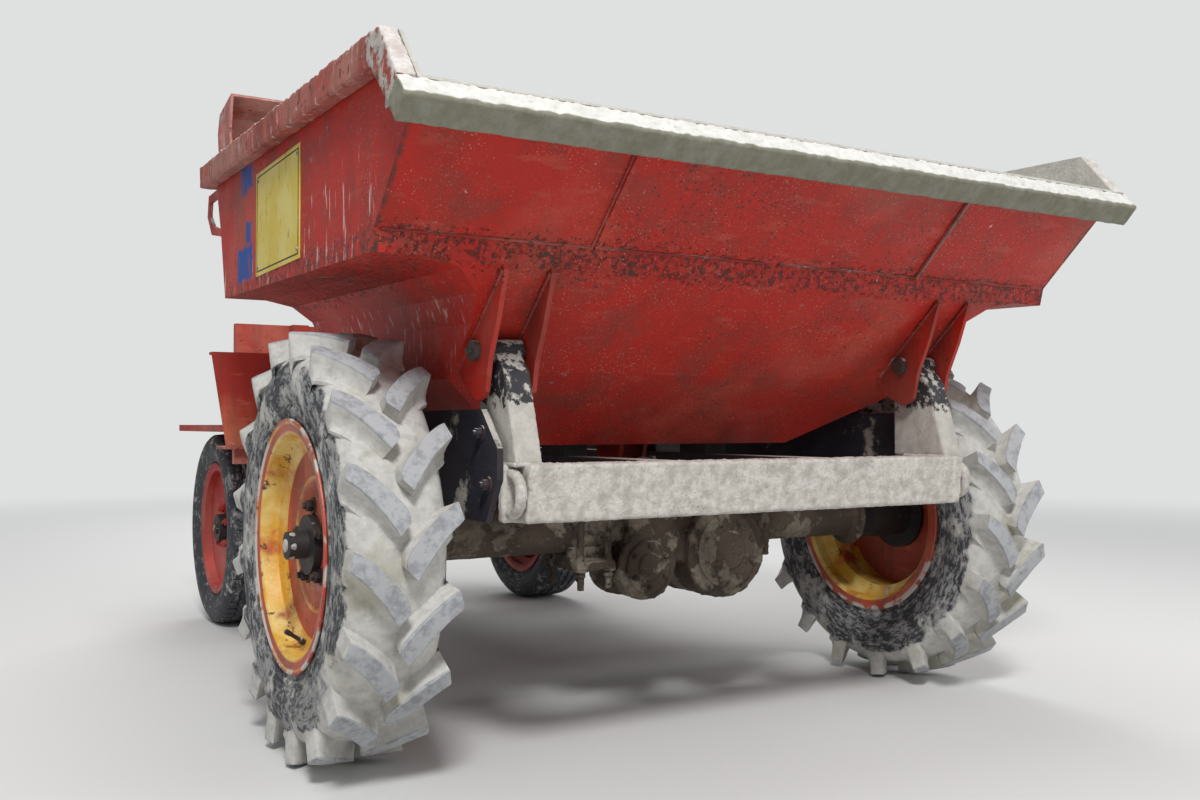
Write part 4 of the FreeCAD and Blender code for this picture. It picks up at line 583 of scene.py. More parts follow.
class Palette:
    """All the materials of the machine, by name."""

    # the blue strokes: Y from and to, Z from and to
    strokes: tuple[tuple[float, float, float, float], ...] = (
        (-0.345, -0.225, 1.235, 1.310), (-0.350, -0.195, 1.030, 1.120),
        (-0.330, -0.275, 1.115, 1.175))

    def __init__(self) -> None:
        """Build the plain finishes and then the ones that need their own recipe."""
        self.stock = {finish.name: finish.build() for finish in FINISHES}
        self.stock["skip_body"] = self.skip_body()
        self.stock["front_tyre"] = self.tyre("front_tyre", pivot("front_spin_left"), 0.385, 0.97)
        self.stock["rear_tyre"] = self.tyre("rear_tyre", pivot("rear_spin_left"), 0.300, 0.16)
        self.stock["front_rim"] = self.front_rim()
        self.stock["seat_vinyl"] = self.vinyl()
        self.stock["chequer_plate"] = self.chequer_plate()
        self.stock["sign_yellow"] = self.sign_yellow()
        self.stock["gauge_face"] = self.gauge_face()

    def __getitem__(self, name: str) -> bpy.types.Material:
        """The material of this name."""
        return self.stock[name]

    def skip_body(self) -> bpy.types.Material:
        """The tub's coat: chalky red outside, cement inside, dark specks along the fold.

        Returns:
            The material.
        """
        coat = Finish("skip_body", SKIP_RED, SKIP_CHALK, fade=0.18, chips=0.03, streaks=0.22,
                      splash=0.035, dust=0.2, specks=0.42, edge=0.45, depth=0.004)
        shader = Shader(coat.name)
        tone = coat.tone(shader)
        dull = shader.cover(shader.noise(6.5, 9.0, shift=15.0, rough=0.74), 0.30, 0.06)
        tone = shader.blend(shader.times(dull, 0.34), tone, SKIP_DULL)
        blots = shader.cover(shader.noise(19.0, 8.0, shift=21.0, rough=0.78), 0.085, 0.020)
        tone = shader.blend(shader.times(blots, 0.85), tone, SKIP_BLOT)
        tone = shader.blend(self.rubbed(shader), tone, SCRATCH)
        pale_dots = shader.times(shader.remap(shader.cells(118.0), 0.20, 0.09),
                                 shader.cover(shader.noise(9.0, 4.0, shift=23.0), 0.45, 0.06))
        powder = shader.cover(shader.noise(230.0, 3.0, shift=37.0, rough=0.8), 0.12, 0.04)
        powder = shader.times(powder, shader.cover(
            shader.noise(5.0, 6.0, shift=39.0, rough=0.65), 0.62, 0.14))
        pale_dots = shader.sums("MAXIMUM", pale_dots, shader.times(powder, 0.8))
        tone = shader.blend(shader.times(pale_dots, 0.75), tone, (0.56, 0.33, 0.26))
        x = shader.sums("ABSOLUTE", shader.along(Axis.X))
        corner = shader.times(shader.remap(x, 0.838, 0.849),
                              shader.remap(shader.part(shader.normal, Axis.Y), -0.2, -0.5))
        corner = shader.times(corner, shader.cover(
            shader.noise(34.0, 5.0, shift=31.0), 0.72, 0.12))
        tone = shader.blend(shader.times(corner, 0.75), tone, GRIME)
        inside = shader.remap(shader.facing((0.0, -0.66, 1.12)), -0.02, 0.02)
        height = shader.along(Axis.Z)
        fold = shader.times(shader.remap(height, 0.935, 0.965),
                            shader.remap(height, 1.035, 1.0))
        spatter = shader.plus(shader.noise(85.0, 7.0, shift=8.0, rough=0.78),
                              shader.times(fold, 0.115))
        spatter = shader.times(shader.cover(spatter, 0.085, 0.03), 0.85)
        dots = shader.times(shader.remap(shader.cells(75.0), 0.26, 0.12),
                            shader.cover(shader.noise(4.0, 5.0, shift=6.0), 0.46, 0.07))
        tone = shader.blend(shader.sums("MAXIMUM", spatter, dots), tone, GRIME)
        tone = shader.blend(self.daub(shader), tone, BLUE_PAINT)
        cloud = shader.noise(7.0, 10.0, shift=7.0, rough=0.68)
        under_lip = shader.remap(height, 1.11, 1.20)
        cloud = shader.plus(cloud, shader.times(under_lip, 0.06))
        cloud = shader.plus(cloud, shader.times(fold, 0.06))
        brink = shader.times(shader.remap(shader.along(Axis.Y), -1.235, -1.250),
                             shader.remap(height, 1.180, 1.195))
        brow = shader.times(shader.remap(height, 1.10, 1.13), shader.remap(
            shader.part(shader.normal, Axis.Z), 0.5, 0.8))
        inside = shader.sums("MAXIMUM", inside, shader.sums("MAXIMUM", brink, brow))
        cloud = shader.plus(cloud, shader.times(inside, 0.34))
        caked = shader.cover(cloud, 0.035, 0.03)
        lumps = shader.noise(34.0, 7.0, shift=4.0, rough=0.7)
        colour = shader.blend(caked, tone, coat.cement(shader, lumps))
        rough = shader.plus(0.50, shader.times(caked, 0.40))
        grit = shader.noise(150.0, 4.0, shift=1.0, rough=0.7)
        dent = shader.times(shader.noise(3.4, 2.0, shift=11.0), 2.4)
        relief = shader.plus(shader.times(caked, lumps), dent)
        relief = shader.plus(relief, shader.times(grit, 0.20))
        relief = shader.plus(relief, shader.times(spatter, 0.30))
        shader.relief(relief, 0.005, 0.8)
        shader.wire(coat.shine, shader.skin.inputs["Specular IOR Level"])
        return shader.close(colour, rough)

    def rubbed(self, shader: Shader) -> Socket:
        """Upright pale scratches, thickest low on the tub's two sides.

        Args:
            shader: the material being built.

        Returns:
            The scratches' mask.
        """
        flank = shader.remap(shader.sums("ABSOLUTE", shader.part(shader.normal, Axis.X)), 0.5, 0.8)
        low = shader.remap(shader.along(Axis.Z), 1.24, 1.00)
        lift = shader.times(shader.times(flank, low), 0.095)
        cloud = shader.plus(shader.noise(58.0, 6.0, (1.0, 1.0, 0.16), 17.0, 0.66), lift)
        return shader.times(shader.cover(cloud, 0.035, 0.045), 0.8)

    def daub(self, shader: Shader) -> Socket:
        """Two rough strokes of blue behind the sign on the right side.

        Args:
            shader: the material being built.

        Returns:
            The strokes' mask.
        """
        ragged = shader.times(shader.noise(30.0, 6.0, (1.0, 1.0, 0.5), 12.0), 0.05)
        y = shader.plus(shader.along(Axis.Y), ragged)
        z = shader.plus(shader.along(Axis.Z), ragged)
        strokes: Value = 0.0
        for y0, y1, z0, z1 in self.strokes:
            spans = [shader.remap(y, y0, y0 + 0.010), shader.remap(y, y1, y1 - 0.010),
                     shader.remap(z, z0, z0 + 0.010), shader.remap(z, z1, z1 - 0.010)]
            stroke = spans[0]
            for span in spans[1:]:
                stroke = shader.times(stroke, span)
            strokes = shader.sums("MAXIMUM", strokes, stroke)
        right = shader.remap(shader.along(Axis.X), -0.84, -0.85)
        thin = shader.cover(shader.noise(70.0, 5.0, (1.0, 1.0, 0.2), 25.0), 0.85, 0.08)
        return shader.times(shader.times(strokes, right), thin)

    def tyre(self, name: str, centre: Vector, tread: float, share: float) -> bpy.types.Material:
        """Rubber under dried cement: a scratched dark wall and a caked tread.

        Args:
            name: the material's name.
            centre: a point on the wheel's axis, as high as the tyre's radius.
            tread: the distance from the axis where the tread begins.
            share: how much of the tread the cement covers.

        Returns:
            The material.
        """
        shader = Shader(name)
        reach = shader.from_axle(centre)
        wound = shader.wound(centre)
        wall = shader.remap(reach, tread, tread - 0.030)
        hair = shader.noise(110.0, 9.0, (0.7, 0.22, 1.0), 2.0, 0.78, wound)
        broad = shader.noise(9.0, 5.0, shift=9.0)
        hair = shader.plus(hair, shader.times(broad, 0.35))
        hair = shader.cover(shader.minus(hair, 0.175), 0.20 + 0.25 * share, 0.05)
        rubber = shader.blend(shader.times(hair, 0.85), (0.034, 0.036, 0.042),
                              (0.32, 0.32, 0.315))
        fine = shader.noise(44.0, 7.0, shift=5.0, rough=0.68)
        pale = shader.blend(shader.cover(fine, 0.40, 0.16), (0.56, 0.55, 0.52),
                            (0.43, 0.42, 0.395))
        grime = shader.cover(shader.noise(17.0, 8.0, shift=33.0, rough=0.72), 0.14, 0.05)
        pale = shader.blend(shader.times(grime, 0.4), pale, (0.20, 0.20, 0.20))
        stain = shader.cover(shader.noise(7.0, 6.0, shift=14.0), 0.20, 0.07)
        pale = shader.blend(shader.times(stain, 0.45), pale, (0.33, 0.30, 0.19))
        top = shader.remap(reach, centre.z - 0.009, centre.z - 0.005)
        scuffed = shader.blend(shader.cover(shader.noise(38.0, 7.0, shift=35.0, rough=0.74),
                                            0.36, 0.09), (0.36, 0.37, 0.39), (0.21, 0.22, 0.245))
        pale = shader.blend(shader.times(top, 0.85), pale, scuffed)
        worn = shader.cover(shader.noise(42.0, 8.0, shift=27.0, rough=0.74), 0.045, 0.02)
        pale = shader.blend(shader.times(worn, 0.8), pale, (0.11, 0.115, 0.13))
        cloud = shader.minus(shader.noise(12.0, 9.0, shift=3.0, rough=0.68),
                             shader.times(wall, 0.30 * share))
        caked = shader.cover(cloud, share, 0.06)
        colour = shader.blend(caked, rubber, pale)
        shader.relief(shader.plus(shader.times(caked, 0.5), fine), 0.0016, 0.7)
        return shader.close(colour, shader.plus(0.66, shader.times(caked, 0.26)))

    def front_rim(self) -> bpy.types.Material:
        """Red disc and flange with the yellow undercoat showing in the rim's well.

        Returns:
            The material.
        """
        coat = Finish("front_rim", (0.44, 0.040, 0.018), (0.52, 0.13, 0.07), fade=0.30, edge=0.0,
                      chips=0.10, streaks=0.4, splash=0.05, dust=0.1, specks=0.5, depth=0.002)
        shader = Shader(coat.name)
        axle = pivot("front_spin_left")
        reach = shader.from_axle(axle)
        well = shader.remap(self.inward(shader, axle, reach), 0.25, 0.55)
        patches = shader.cover(shader.noise(8.0, 6.0, shift=2.0, rough=0.65), 0.74, 0.09)
        yellow = shader.blend(shader.cover(shader.noise(14.0, 5.0), 0.4, 0.14),
                              (0.66, 0.36, 0.030), (0.74, 0.58, 0.20))
        tone = shader.blend(shader.times(well, patches), coat.tone(shader), yellow)
        rust = shader.cover(shader.noise(34.0, 7.0, shift=5.0, rough=0.7), 0.16, 0.03)
        tone = shader.blend(rust, tone, RUST)
        flange = shader.times(shader.remap(reach, 0.240, 0.246),
                              shader.cover(shader.noise(18.0, 6.0, shift=8.0), 0.45, 0.04))
        tone = shader.blend(flange, tone, (0.55, 0.50, 0.44))
        caked = coat.caked(shader)
        colour = shader.blend(caked, tone, CEMENT)
        grit = shader.noise(120.0, 4.0)
        shader.relief(shader.plus(caked, shader.times(grit, 0.4)), 0.002)
        return shader.close(colour, shader.plus(0.45, shader.times(caked, 0.4)))

    def inward(self, shader: Shader, axle: Vector, reach: Socket) -> Socket:
        """How far the surface faces towards a wheel's axle, from -1 to 1.

        Args:
            shader: the material being built.
            axle: a point on the axle.
            reach: the distance from it.

        Returns:
            The cosine's socket.
        """
        parts = []
        for axis, middle in ((Axis.Y, axle.y), (Axis.Z, axle.z)):
            way = shader.minus(middle, shader.along(axis))
            parts.append(shader.times(way, shader.part(shader.normal, axis)))
        return shader.sums("DIVIDE", shader.plus(*parts), reach)

    def vinyl(self) -> bpy.types.Material:
        """Black seat cover with a fine grain, dulled by dust.

        Returns:
            The material.
        """
        shader = Shader("seat_vinyl")
        dust = shader.cover(shader.noise(6.0, 7.0, shift=2.0, rough=0.65), 0.26, 0.12)
        colour = shader.blend(shader.times(dust, 0.5), (0.018, 0.018, 0.020),
                              (0.16, 0.15, 0.135))
        grain = shader.plus(shader.cells(420.0), shader.noise(30.0, 3.0))
        shader.relief(grain, 0.0008)
        return shader.close(colour, shader.plus(0.44, shader.times(dust, 0.3)))

    def chequer_plate(self) -> bpy.types.Material:
        """Red floor plate with raised diamonds worn to steel, splashed and dusted with cement.

        Returns:
            The material.
        """
        coat = Finish("chequer_plate", (0.40, 0.040, 0.028), (0.55, 0.22, 0.16), splash=0.22,
                      dust=0.5, chips=0.14)
        shader = Shader(coat.name)
        x = shader.times(shader.along(Axis.X), 2 * math.pi / 0.032)
        y = shader.times(shader.along(Axis.Y), 2 * math.pi / 0.032)
        wave = shader.times(shader.sums("SINE", x), shader.sums("SINE", y))
        up = shader.remap(shader.part(shader.normal, Axis.Z), 0.5, 0.9)
        studs = shader.times(shader.remap(wave, 0.45, 0.70), up)
        tone = shader.blend(shader.times(studs, 0.55), coat.tone(shader),
                            (0.34, 0.31, 0.28))
        caked = coat.caked(shader)
        colour = shader.blend(caked, tone, CEMENT)
        shader.relief(shader.plus(studs, shader.times(caked, 0.5)), 0.002)
        return shader.close(colour, shader.plus(0.5, shader.times(caked, 0.35)))

    def sign_yellow(self) -> bpy.types.Material:
        """The blank sign's faded yellow face, scratched and stained.

        Returns:
            The material.
        """
        shader = Shader("sign_yellow")
        fade = shader.cover(shader.noise(8.0, 6.0), 0.45, 0.12)
        colour = shader.blend(fade, (0.66, 0.50, 0.045), (0.72, 0.60, 0.16))
        stain = shader.cover(shader.noise(36.0, 6.0, (1.0, 1.0, 0.4), 3.0, 0.7), 0.14, 0.05)
        colour = shader.blend(shader.times(stain, 0.7), colour, (0.20, 0.14, 0.05))
        shader.relief(shader.noise(90.0, 3.0), 0.0006)
        return shader.close(colour, shader.plus(0.38, shader.times(stain, 0.3)))

    def gauge_face(self) -> bpy.types.Material:
        """The blank dial of the gauge, pale with darker blotches."""
        shader = Shader("gauge_face")
        colour = shader.blend(shader.cover(shader.noise(40.0, 4.0), 0.3, 0.1),
                              (0.62, 0.61, 0.56), (0.40, 0.38, 0.33))
        return shader.close(colour, 0.35)


@dataclass
class Maker:
    """Turns points and faces into finished objects that ride on a body."""

    palette: Palette
    made: int = 0

    def own(self, thing: bpy.types.Object, body: str, finish: str, slot: Slot) -> bpy.types.Object:
        """Give a new piece its body and material.

        Args:
            thing: the piece.
            body: the body that it rides on.
            finish: its material's name.
            slot: the record's slot that it belongs to; not used.

        Returns:
            The same piece.
        """
        thing.data.materials.clear()
        thing.data.materials.append(self.palette[finish])
        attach(thing, body)
        self.made += 1
        LOG.info("%s: %d faces, on %s", thing.name, len(thing.data.polygons), body)
        return thing

    def piece(self, name: str, form: bmesh.types.BMesh, body: str, finish: str, slot: Slot,
              sharp: float = 35.0, bevel: float = 0.0) -> bpy.types.Object:
        """Make an object from a bmesh and free it.

        Args:
            name: the piece's name.
            form: its mesh.
            body: the body that it rides on.
            finish: its material's name.
            slot: the record's slot.
            sharp: edges that fold by more degrees stay sharp.
            bevel: width of the rounding along sharp edges, or 0.

        Returns:
            The piece.
        """
        bmesh.ops.recalc_face_normals(form, faces=form.faces)
        mesh = bpy.data.meshes.new(name)
        form.to_mesh(mesh)
        form.free()
        mesh.shade_smooth()
        mesh.set_sharp_from_angle(angle=math.radians(sharp))
        thing = bpy.data.objects.new(name, mesh)
        bpy.context.scene.collection.objects.link(thing)
        if bevel:
            round_off = thing.modifiers.new("round", "BEVEL")
            round_off.width = bevel
            round_off.segments = 2
            round_off.limit_method = "ANGLE"
            round_off.angle_limit = math.radians(sharp)
        return self.own(thing, body, finish, slot)

    def dress(self, finish: str, nodes: Iterable[str]) -> None:
        """Give CAD nodes a material.

        Args:
            finish: the material's name.
            nodes: the nodes' names.
        """
        for name in nodes:
            for place in frame["nodes"][name].material_slots:
                place.material = self.palette[finish]
            LOG.info("%s: dressed in %s", name, finish)

    def skin(self, source: bpy.types.Mesh, voxel: float) -> bpy.types.Mesh:
        """One closed skin over the solids of a mesh, of even small faces.

        Args:
            source: the mesh; it isn't changed.
            voxel: the size of the new faces in metres.

        Returns:
            A new mesh.
        """
        form = bmesh.new()
        form.from_mesh(source)
        bmesh.ops.remove_doubles(form, verts=form.verts, dist=1e-6)
        plain = bpy.data.meshes.new("skin_source")
        form.to_mesh(plain)
        form.free()
        holder = bpy.data.objects.new("skin_source", plain)
        bpy.context.scene.collection.objects.link(holder)
        remesh = holder.modifiers.new("skin", "REMESH")
        remesh.mode = "VOXEL"
        remesh.voxel_size = voxel
        remesh.adaptivity = 0.0
        depsgraph = bpy.context.evaluated_depsgraph_get()
        made = bpy.data.meshes.new_from_object(holder.evaluated_get(depsgraph))
        bpy.data.objects.remove(holder)
        bpy.data.meshes.remove(plain)
        return made

    def caked(self, name: str, node: str, body: str, finish: str, slot: Slot,
              crust: "Crust") -> bpy.types.Object:
        """Replace a CAD node by the same shape under a lumpy crust of cement.

        Args:
            name: the new piece's name.
            node: the node that it stands for.
            body: the body that it rides on.
            finish: its material's name.
            slot: the record's slot.
            crust: how thick and how coarse the crust is.

        Returns:
            The piece.
        """
        voxel = crust.voxel * 1.0
        mesh = self.skin(frame["nodes"][node].data, voxel)
        crust.lay(mesh)
        mesh.name = name
        mesh.shade_smooth()
        thing = bpy.data.objects.new(name, mesh)
        bpy.context.scene.collection.objects.link(thing)
        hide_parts(node)
        return self.own(thing, body, finish, slot)


@dataclass
class Assembly:
    """A part of the machine, which dresses its nodes and adds its pieces through a maker."""

    maker: Maker


@dataclass(frozen=True)
class Crust:
    """A layer of dried cement: thickness between lumps and hollows, and their sizes."""

    voxel: float = 0.006
    swell: float = 0.0015
    lumps: float = 0.0020
    pitch: float = 0.030
    seed: float = 0.0
    up: float = 0.0

    def lay(self, mesh: bpy.types.Mesh) -> None:
        """Move a mesh's points along their normals, more where they face up.

        Args:
            mesh: the mesh that is changed.
        """
        normals = [vertex.normal.copy() for vertex in mesh.vertices]
        for vertex, normal in zip(mesh.vertices, normals):
            spot = vertex.co / self.pitch + Vector((self.seed, self.seed, self.seed))
            rough = noise.noise(spot) + 0.5 * noise.noise(spot * 2.3) + 0.25 * noise.noise(
                spot * 5.1)
            lift = self.swell * (rough > -0.1) + self.lumps * rough
            lift += self.up * max(0.0, normal.z) * max(0.0, 0.4 + rough)
            vertex.co += normal * lift
        mesh.update()


def ring_about_x(form: bmesh.types.BMesh, section: Sequence[tuple[float, float]],
                 centre: Vector, steps: int, closed: bool = True) -> None:
    """Turn a section of (across, distance) about a line along X.

    Args:
        form: the mesh that gets the faces.
        section: the section's points.
        centre: a point on the axis.
        steps: how many pieces the turn has.
        closed: whether the last point joins the first.
    """
    rings = []
    for step in range(steps):
        angle = 2 * math.pi * step / steps
        rings.append([form.verts.new((centre.x + x, centre.y + r * math.cos(angle),
                                      centre.z + r * math.sin(angle))) for x, r in section])
    last = len(section) if closed else len(section) - 1
    for step in range(steps):
        one, two = rings[step], rings[(step + 1) % steps]
        for k in range(last):
            j = (k + 1) % len(section)
            form.faces.new((one[k], one[j], two[j], two[k]))


def box_form(form: bmesh.types.BMesh, low: Sequence[float], high: Sequence[float],
             taper: float = 0.0) -> None:
    """Add a block between two corners, its top narrowed by the taper.

    Args:
        form: the mesh that gets it.
        low: the lowest corner.
        high: the highest corner.
        taper: how much each side of the top moves inwards.
    """
    corners = []
    for z, inward in ((low[2], 0.0), (high[2], taper)):
        corners.append([form.verts.new(spot) for spot in (
            (low[0] + inward, low[1] + inward, z), (high[0] - inward, low[1] + inward, z),
            (high[0] - inward, high[1] - inward, z), (low[0] + inward, high[1] - inward, z))])
    under, over = corners
    form.faces.new(under)
    form.faces.new(over)
    for k in range(4):
        j = (k + 1) % 4
        form.faces.new((under[k], under[j], over[j], over[k]))


def frame_along(way: Vector) -> Matrix:
    """A turn that brings the Z axis onto a direction."""
    return way.to_track_quat("Z", "Y").to_matrix().to_4x4()


def turned_form(form: bmesh.types.BMesh, foot: Vector, way: Vector,
                section: Sequence[tuple[float, float]], steps: int = 24) -> None:
    """Turn a section of (height, radius) about a direction, closed at both ends.

    Args:
        form: the mesh that gets it.
        foot: where the axis starts.
        way: the axis's direction.
        section: the outline, from the foot upwards.
        steps: how many pieces the turn has; 6 makes a nut.
    """
    turn = Matrix.Translation(foot) @ frame_along(way)
    rings = []
    for height, radius in section:
        rings.append([form.verts.new(turn @ Vector((
            radius * math.cos(2 * math.pi * k / steps),
            radius * math.sin(2 * math.pi * k / steps), height))) for k in range(steps)])
    for one, two in zip(rings, rings[1:]):
        for k in range(steps):
            j = (k + 1) % steps
            form.faces.new((one[k], one[j], two[j], two[k]))
    form.faces.new(rings[0])
    form.faces.new(rings[-1])


def bolt_form(form: bmesh.types.BMesh, foot: Vector, way: Vector, size: float) -> None:
    """A washer, a chamfered hexagon nut and the end of its stud.

    Args:
        form: the mesh that gets them.
        foot: the middle of the washer's face.
        way: the direction that the stud points in.
        size: the nut's width across corners.
    """
    half = size / 2
    turned_form(form, foot, way, ((-0.001, half * 1.35), (half * 0.22, half * 1.35)), 20)
    start = half * 0.22
    turned_form(form, foot, way, ((start, half * 0.94), (start + half * 0.1, half),
                                  (half * 1.1, half), (half * 1.22, half * 0.84)), 6)
    turned_form(form, foot, way, ((half * 1.2, half * 0.52), (half * 1.62, half * 0.52),
                                  (half * 1.72, half * 0.42)), 14)


def tube_form(form: bmesh.types.BMesh, path: Sequence[Vector], radius: Callable[[float], float],
              sides: int = 10, closed: bool = False) -> None:
    """A round bar along a path of points.

    Args:
        form: the mesh that gets it.
        path: the points that it follows.
        radius: gives the radius from the share of the path covered, 0 to 1.
        sides: corners of its section.
        closed: whether the path joins up.
    """
    count = len(path)
    rings = []
    side = None
    for k, spot in enumerate(path):
        ahead = path[(k + 1) % count] if closed or k < count - 1 else spot
        behind = path[k - 1] if closed or k else spot
        way = (ahead - behind).normalized()
        if side is None:
            side = way.cross(Vector((0, 0, 1)) if abs(way.z) < 0.95 else Vector((0, 1, 0)))
        side = (side - way * side.dot(way)).normalized()
        rise = side.cross(way).normalized()
        size = radius(k / max(1, count - 1))
        rings.append([form.verts.new(spot + size * (
            side * math.cos(2 * math.pi * j / sides) + rise * math.sin(2 * math.pi * j / sides)))
            for j in range(sides)])
    pairs = list(zip(rings, rings[1:])) + ([(rings[-1], rings[0])] if closed else [])
    for one, two in pairs:
        for j in range(sides):
            i = (j + 1) % sides
            form.faces.new((one[j], one[i], two[i], two[j]))
    if not closed:
        form.faces.new(rings[0])
        form.faces.new(rings[-1])


def weld_form(form: bmesh.types.BMesh, start: Vector, end: Vector, size: float,
              seed: int = 0) -> None:
    """A weld bead between two points: a low bar that ripples along its length.

    Args:
        form: the mesh that gets it.
        start: one end.
        end: the other end.
        size: the bead's radius.
        seed: makes each bead its own.
    """
    dice = random.Random(seed)
    steps = max(4, int((end - start).length / (size * 0.9)))
    path = [start.lerp(end, k / steps) for k in range(steps + 1)]
    sizes = [size * dice.uniform(0.75, 1.1) * (1.12 if k % 2 else 0.92) for k in range(steps + 1)]
    tube_form(form, path, lambda share: sizes[round(share * steps)], 8)


def curve_through(points: Sequence[tuple[float, ...]], steps: int) -> list[tuple[float, ...]]:
    """A smooth row of points through some given ones.

    Args:
        points: the given points, of any number of values each.
        steps: how many points each stretch between two of them gets.

    Returns:
        The row, with the given points in it.
    """
    row = []
    last = len(points) - 1
    for k in range(last):
        p0, p1, p2, p3 = (points[max(0, min(last, k + j))] for j in (-1, 0, 1, 2))
        for step in range(steps):
            t = step / steps
            row.append(tuple(
                0.5 * (2 * b + (c - a) * t + (2 * a - 5 * b + 4 * c - d) * t * t
                       + (3 * b - a - 3 * c + d) * t ** 3)
                for a, b, c, d in zip(p0, p1, p2, p3)))
    return row + [tuple(points[last])]


@dataclass
class LuggedTyre(Assembly):
    """A front tyre: its carcass, and two staggered rows of bars whose V points down in front."""

    side: Side
    radius: float = 0.4288
    half_width: float = 0.105
    lug_rise: float = 0.036
    lugs: int = 17
    phase: float = math.asin(0.177) - math.pi / 2
    # along the bar: out from the middle, along the tread, drop of its top, depth of its foot
    stations: tuple[tuple[float, float, float, float], ...] = (
        (0.000, 0.060, 0.0000, 0.040),
        (0.028, 0.020, 0.0000, 0.040),
        (0.062, -0.018, 0.0000, 0.045),
        (0.090, -0.041, 0.0010, 0.058),
        (0.1045, -0.050, 0.0035, 0.098),
    )
    # down a bar's wall: half its width, share of the way to the foot
    wall: tuple[tuple[float, float], ...] = (
        (0.0178, 0.0), (0.0196, 0.045), (0.0212, 0.40), (0.0245, 0.70), (0.0310, 0.90),
        (0.0420, 1.0), (0.0430, 1.16))

    def section(self) -> list[tuple[float, float]]:
        """The carcass's section, bead to bead, with the sidewall's bulge and its guard ribs.

        Returns:
            Points of (across, distance from the axle).
        """
        base = self.radius - self.lug_rise
        half = [(0.0865, 0.232), (0.0872, 0.250), (0.0880, 0.262), (0.0938, 0.268),
                (0.0940, 0.276), (0.0915, 0.281), (0.0985, 0.298), (0.1020, 0.318),
                (0.1005, 0.340), (0.0940, 0.362), (0.0790, 0.381), (0.0500, base)]
        half = curve_through(half + [(0.0, base + 0.001)], 2)
        return half + [(-x, r) for x, r in reversed(half[:-1])]

    def lug(self, form: bmesh.types.BMesh, hand: int, angle: float, seed: int) -> None:
        """One tread bar with a flat top, steep walls and a hollow foot.

        Args:
            form: the mesh that gets it.
            hand: the tyre's half, 1 or -1.
            angle: where the bar stands round the tyre.
            seed: wears each bar in its own way.
        """
        worn = random.Random(seed).uniform(0.0, 0.0030)
        line = curve_through(self.stations, 5)
        rings = []
        for k, (x, s, drop, depth) in enumerate(line):
            before, after = line[max(0, k - 1)], line[min(len(line) - 1, k + 1)]
            way = Vector((after[0] - before[0], after[1] - before[1])).normalized()
            across = Vector((-way.y, way.x))
            slim = 1.0 - 0.12 * k / (len(line) - 1)
            ring = []
            for sign, rows in ((1, self.wall), (-1, self.wall[::-1])):
                for half, share in rows:
                    spot = Vector((x, s)) + across * (half * slim * sign)
                    height = -(drop + worn) - share * (depth - drop)
                    reach = min(max(spot.x, -0.004), self.half_width - 0.0035 * share)
                    ring.append(self.stand(form, hand, angle, (reach, spot.y, height)))
            rings.append(ring)
        for one, two in zip(rings, rings[1:]):
            for j in range(len(one)):
                i = (j + 1) % len(one)
                form.faces.new((one[j], one[i], two[i], two[j]))
        form.faces.new(rings[0])
        form.faces.new(rings[-1])

    def stand(self, form: bmesh.types.BMesh, hand: int, angle: float,
              spot: Spot) -> bmesh.types.BMVert:
        """A point of a bar, from its place on the unrolled tread.

        Args:
            form: the mesh that gets it.
            hand: the tyre's half.
            angle: where the bar stands.
            spot: out from the middle, along the tread, and height over the tread's top.

        Returns:
            The new vertex.
        """
        centre = pivot("front_spin_" + self.side.tag)
        turned = angle + spot[1] / self.radius
        reach = self.radius + spot[2]
        return form.verts.new((centre.x + hand * spot[0], centre.y + reach * math.cos(turned),
                               centre.z + reach * math.sin(turned)))

    def build(self) -> bpy.types.Object:
        """Build the carcass and its bars, uneven by the cement that lies on them.

        Returns:
            The tyre.
        """
        centre = pivot("front_spin_" + self.side.tag)
        form = bmesh.new()
        ring_about_x(form, self.section(), centre, 240 // (1))
        for hand, stagger in ((1, 0.0), (-1, 0.5)):
            for k in range(self.lugs):
                angle = self.phase + 2 * math.pi * (k + stagger) / self.lugs
                self.lug(form, hand, angle, k + (100 if hand > 0 else 200))
        for vertex in form.verts:
            spot = vertex.co / 0.034
            vertex.co += 0.0008 * noise.noise_vector(spot) + 0.0005 * noise.noise_vector(spot * 3)
            out = Vector((0.0, vertex.co.y - centre.y, vertex.co.z - centre.z))
            if out.length > self.radius:
                vertex.co -= out * (1 - self.radius / out.length)
            across = vertex.co.x - centre.x
            if abs(across) > self.half_width:
                vertex.co.x = centre.x + math.copysign(self.half_width, across)
        tyre = self.maker.piece("lugged_tyre_" + self.side.tag, form,
                                "front_wheel_" + self.side.tag, "front_tyre", Slot.TYRE, 32.0)
        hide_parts("front_tyre_" + self.side.tag)
        return tyre


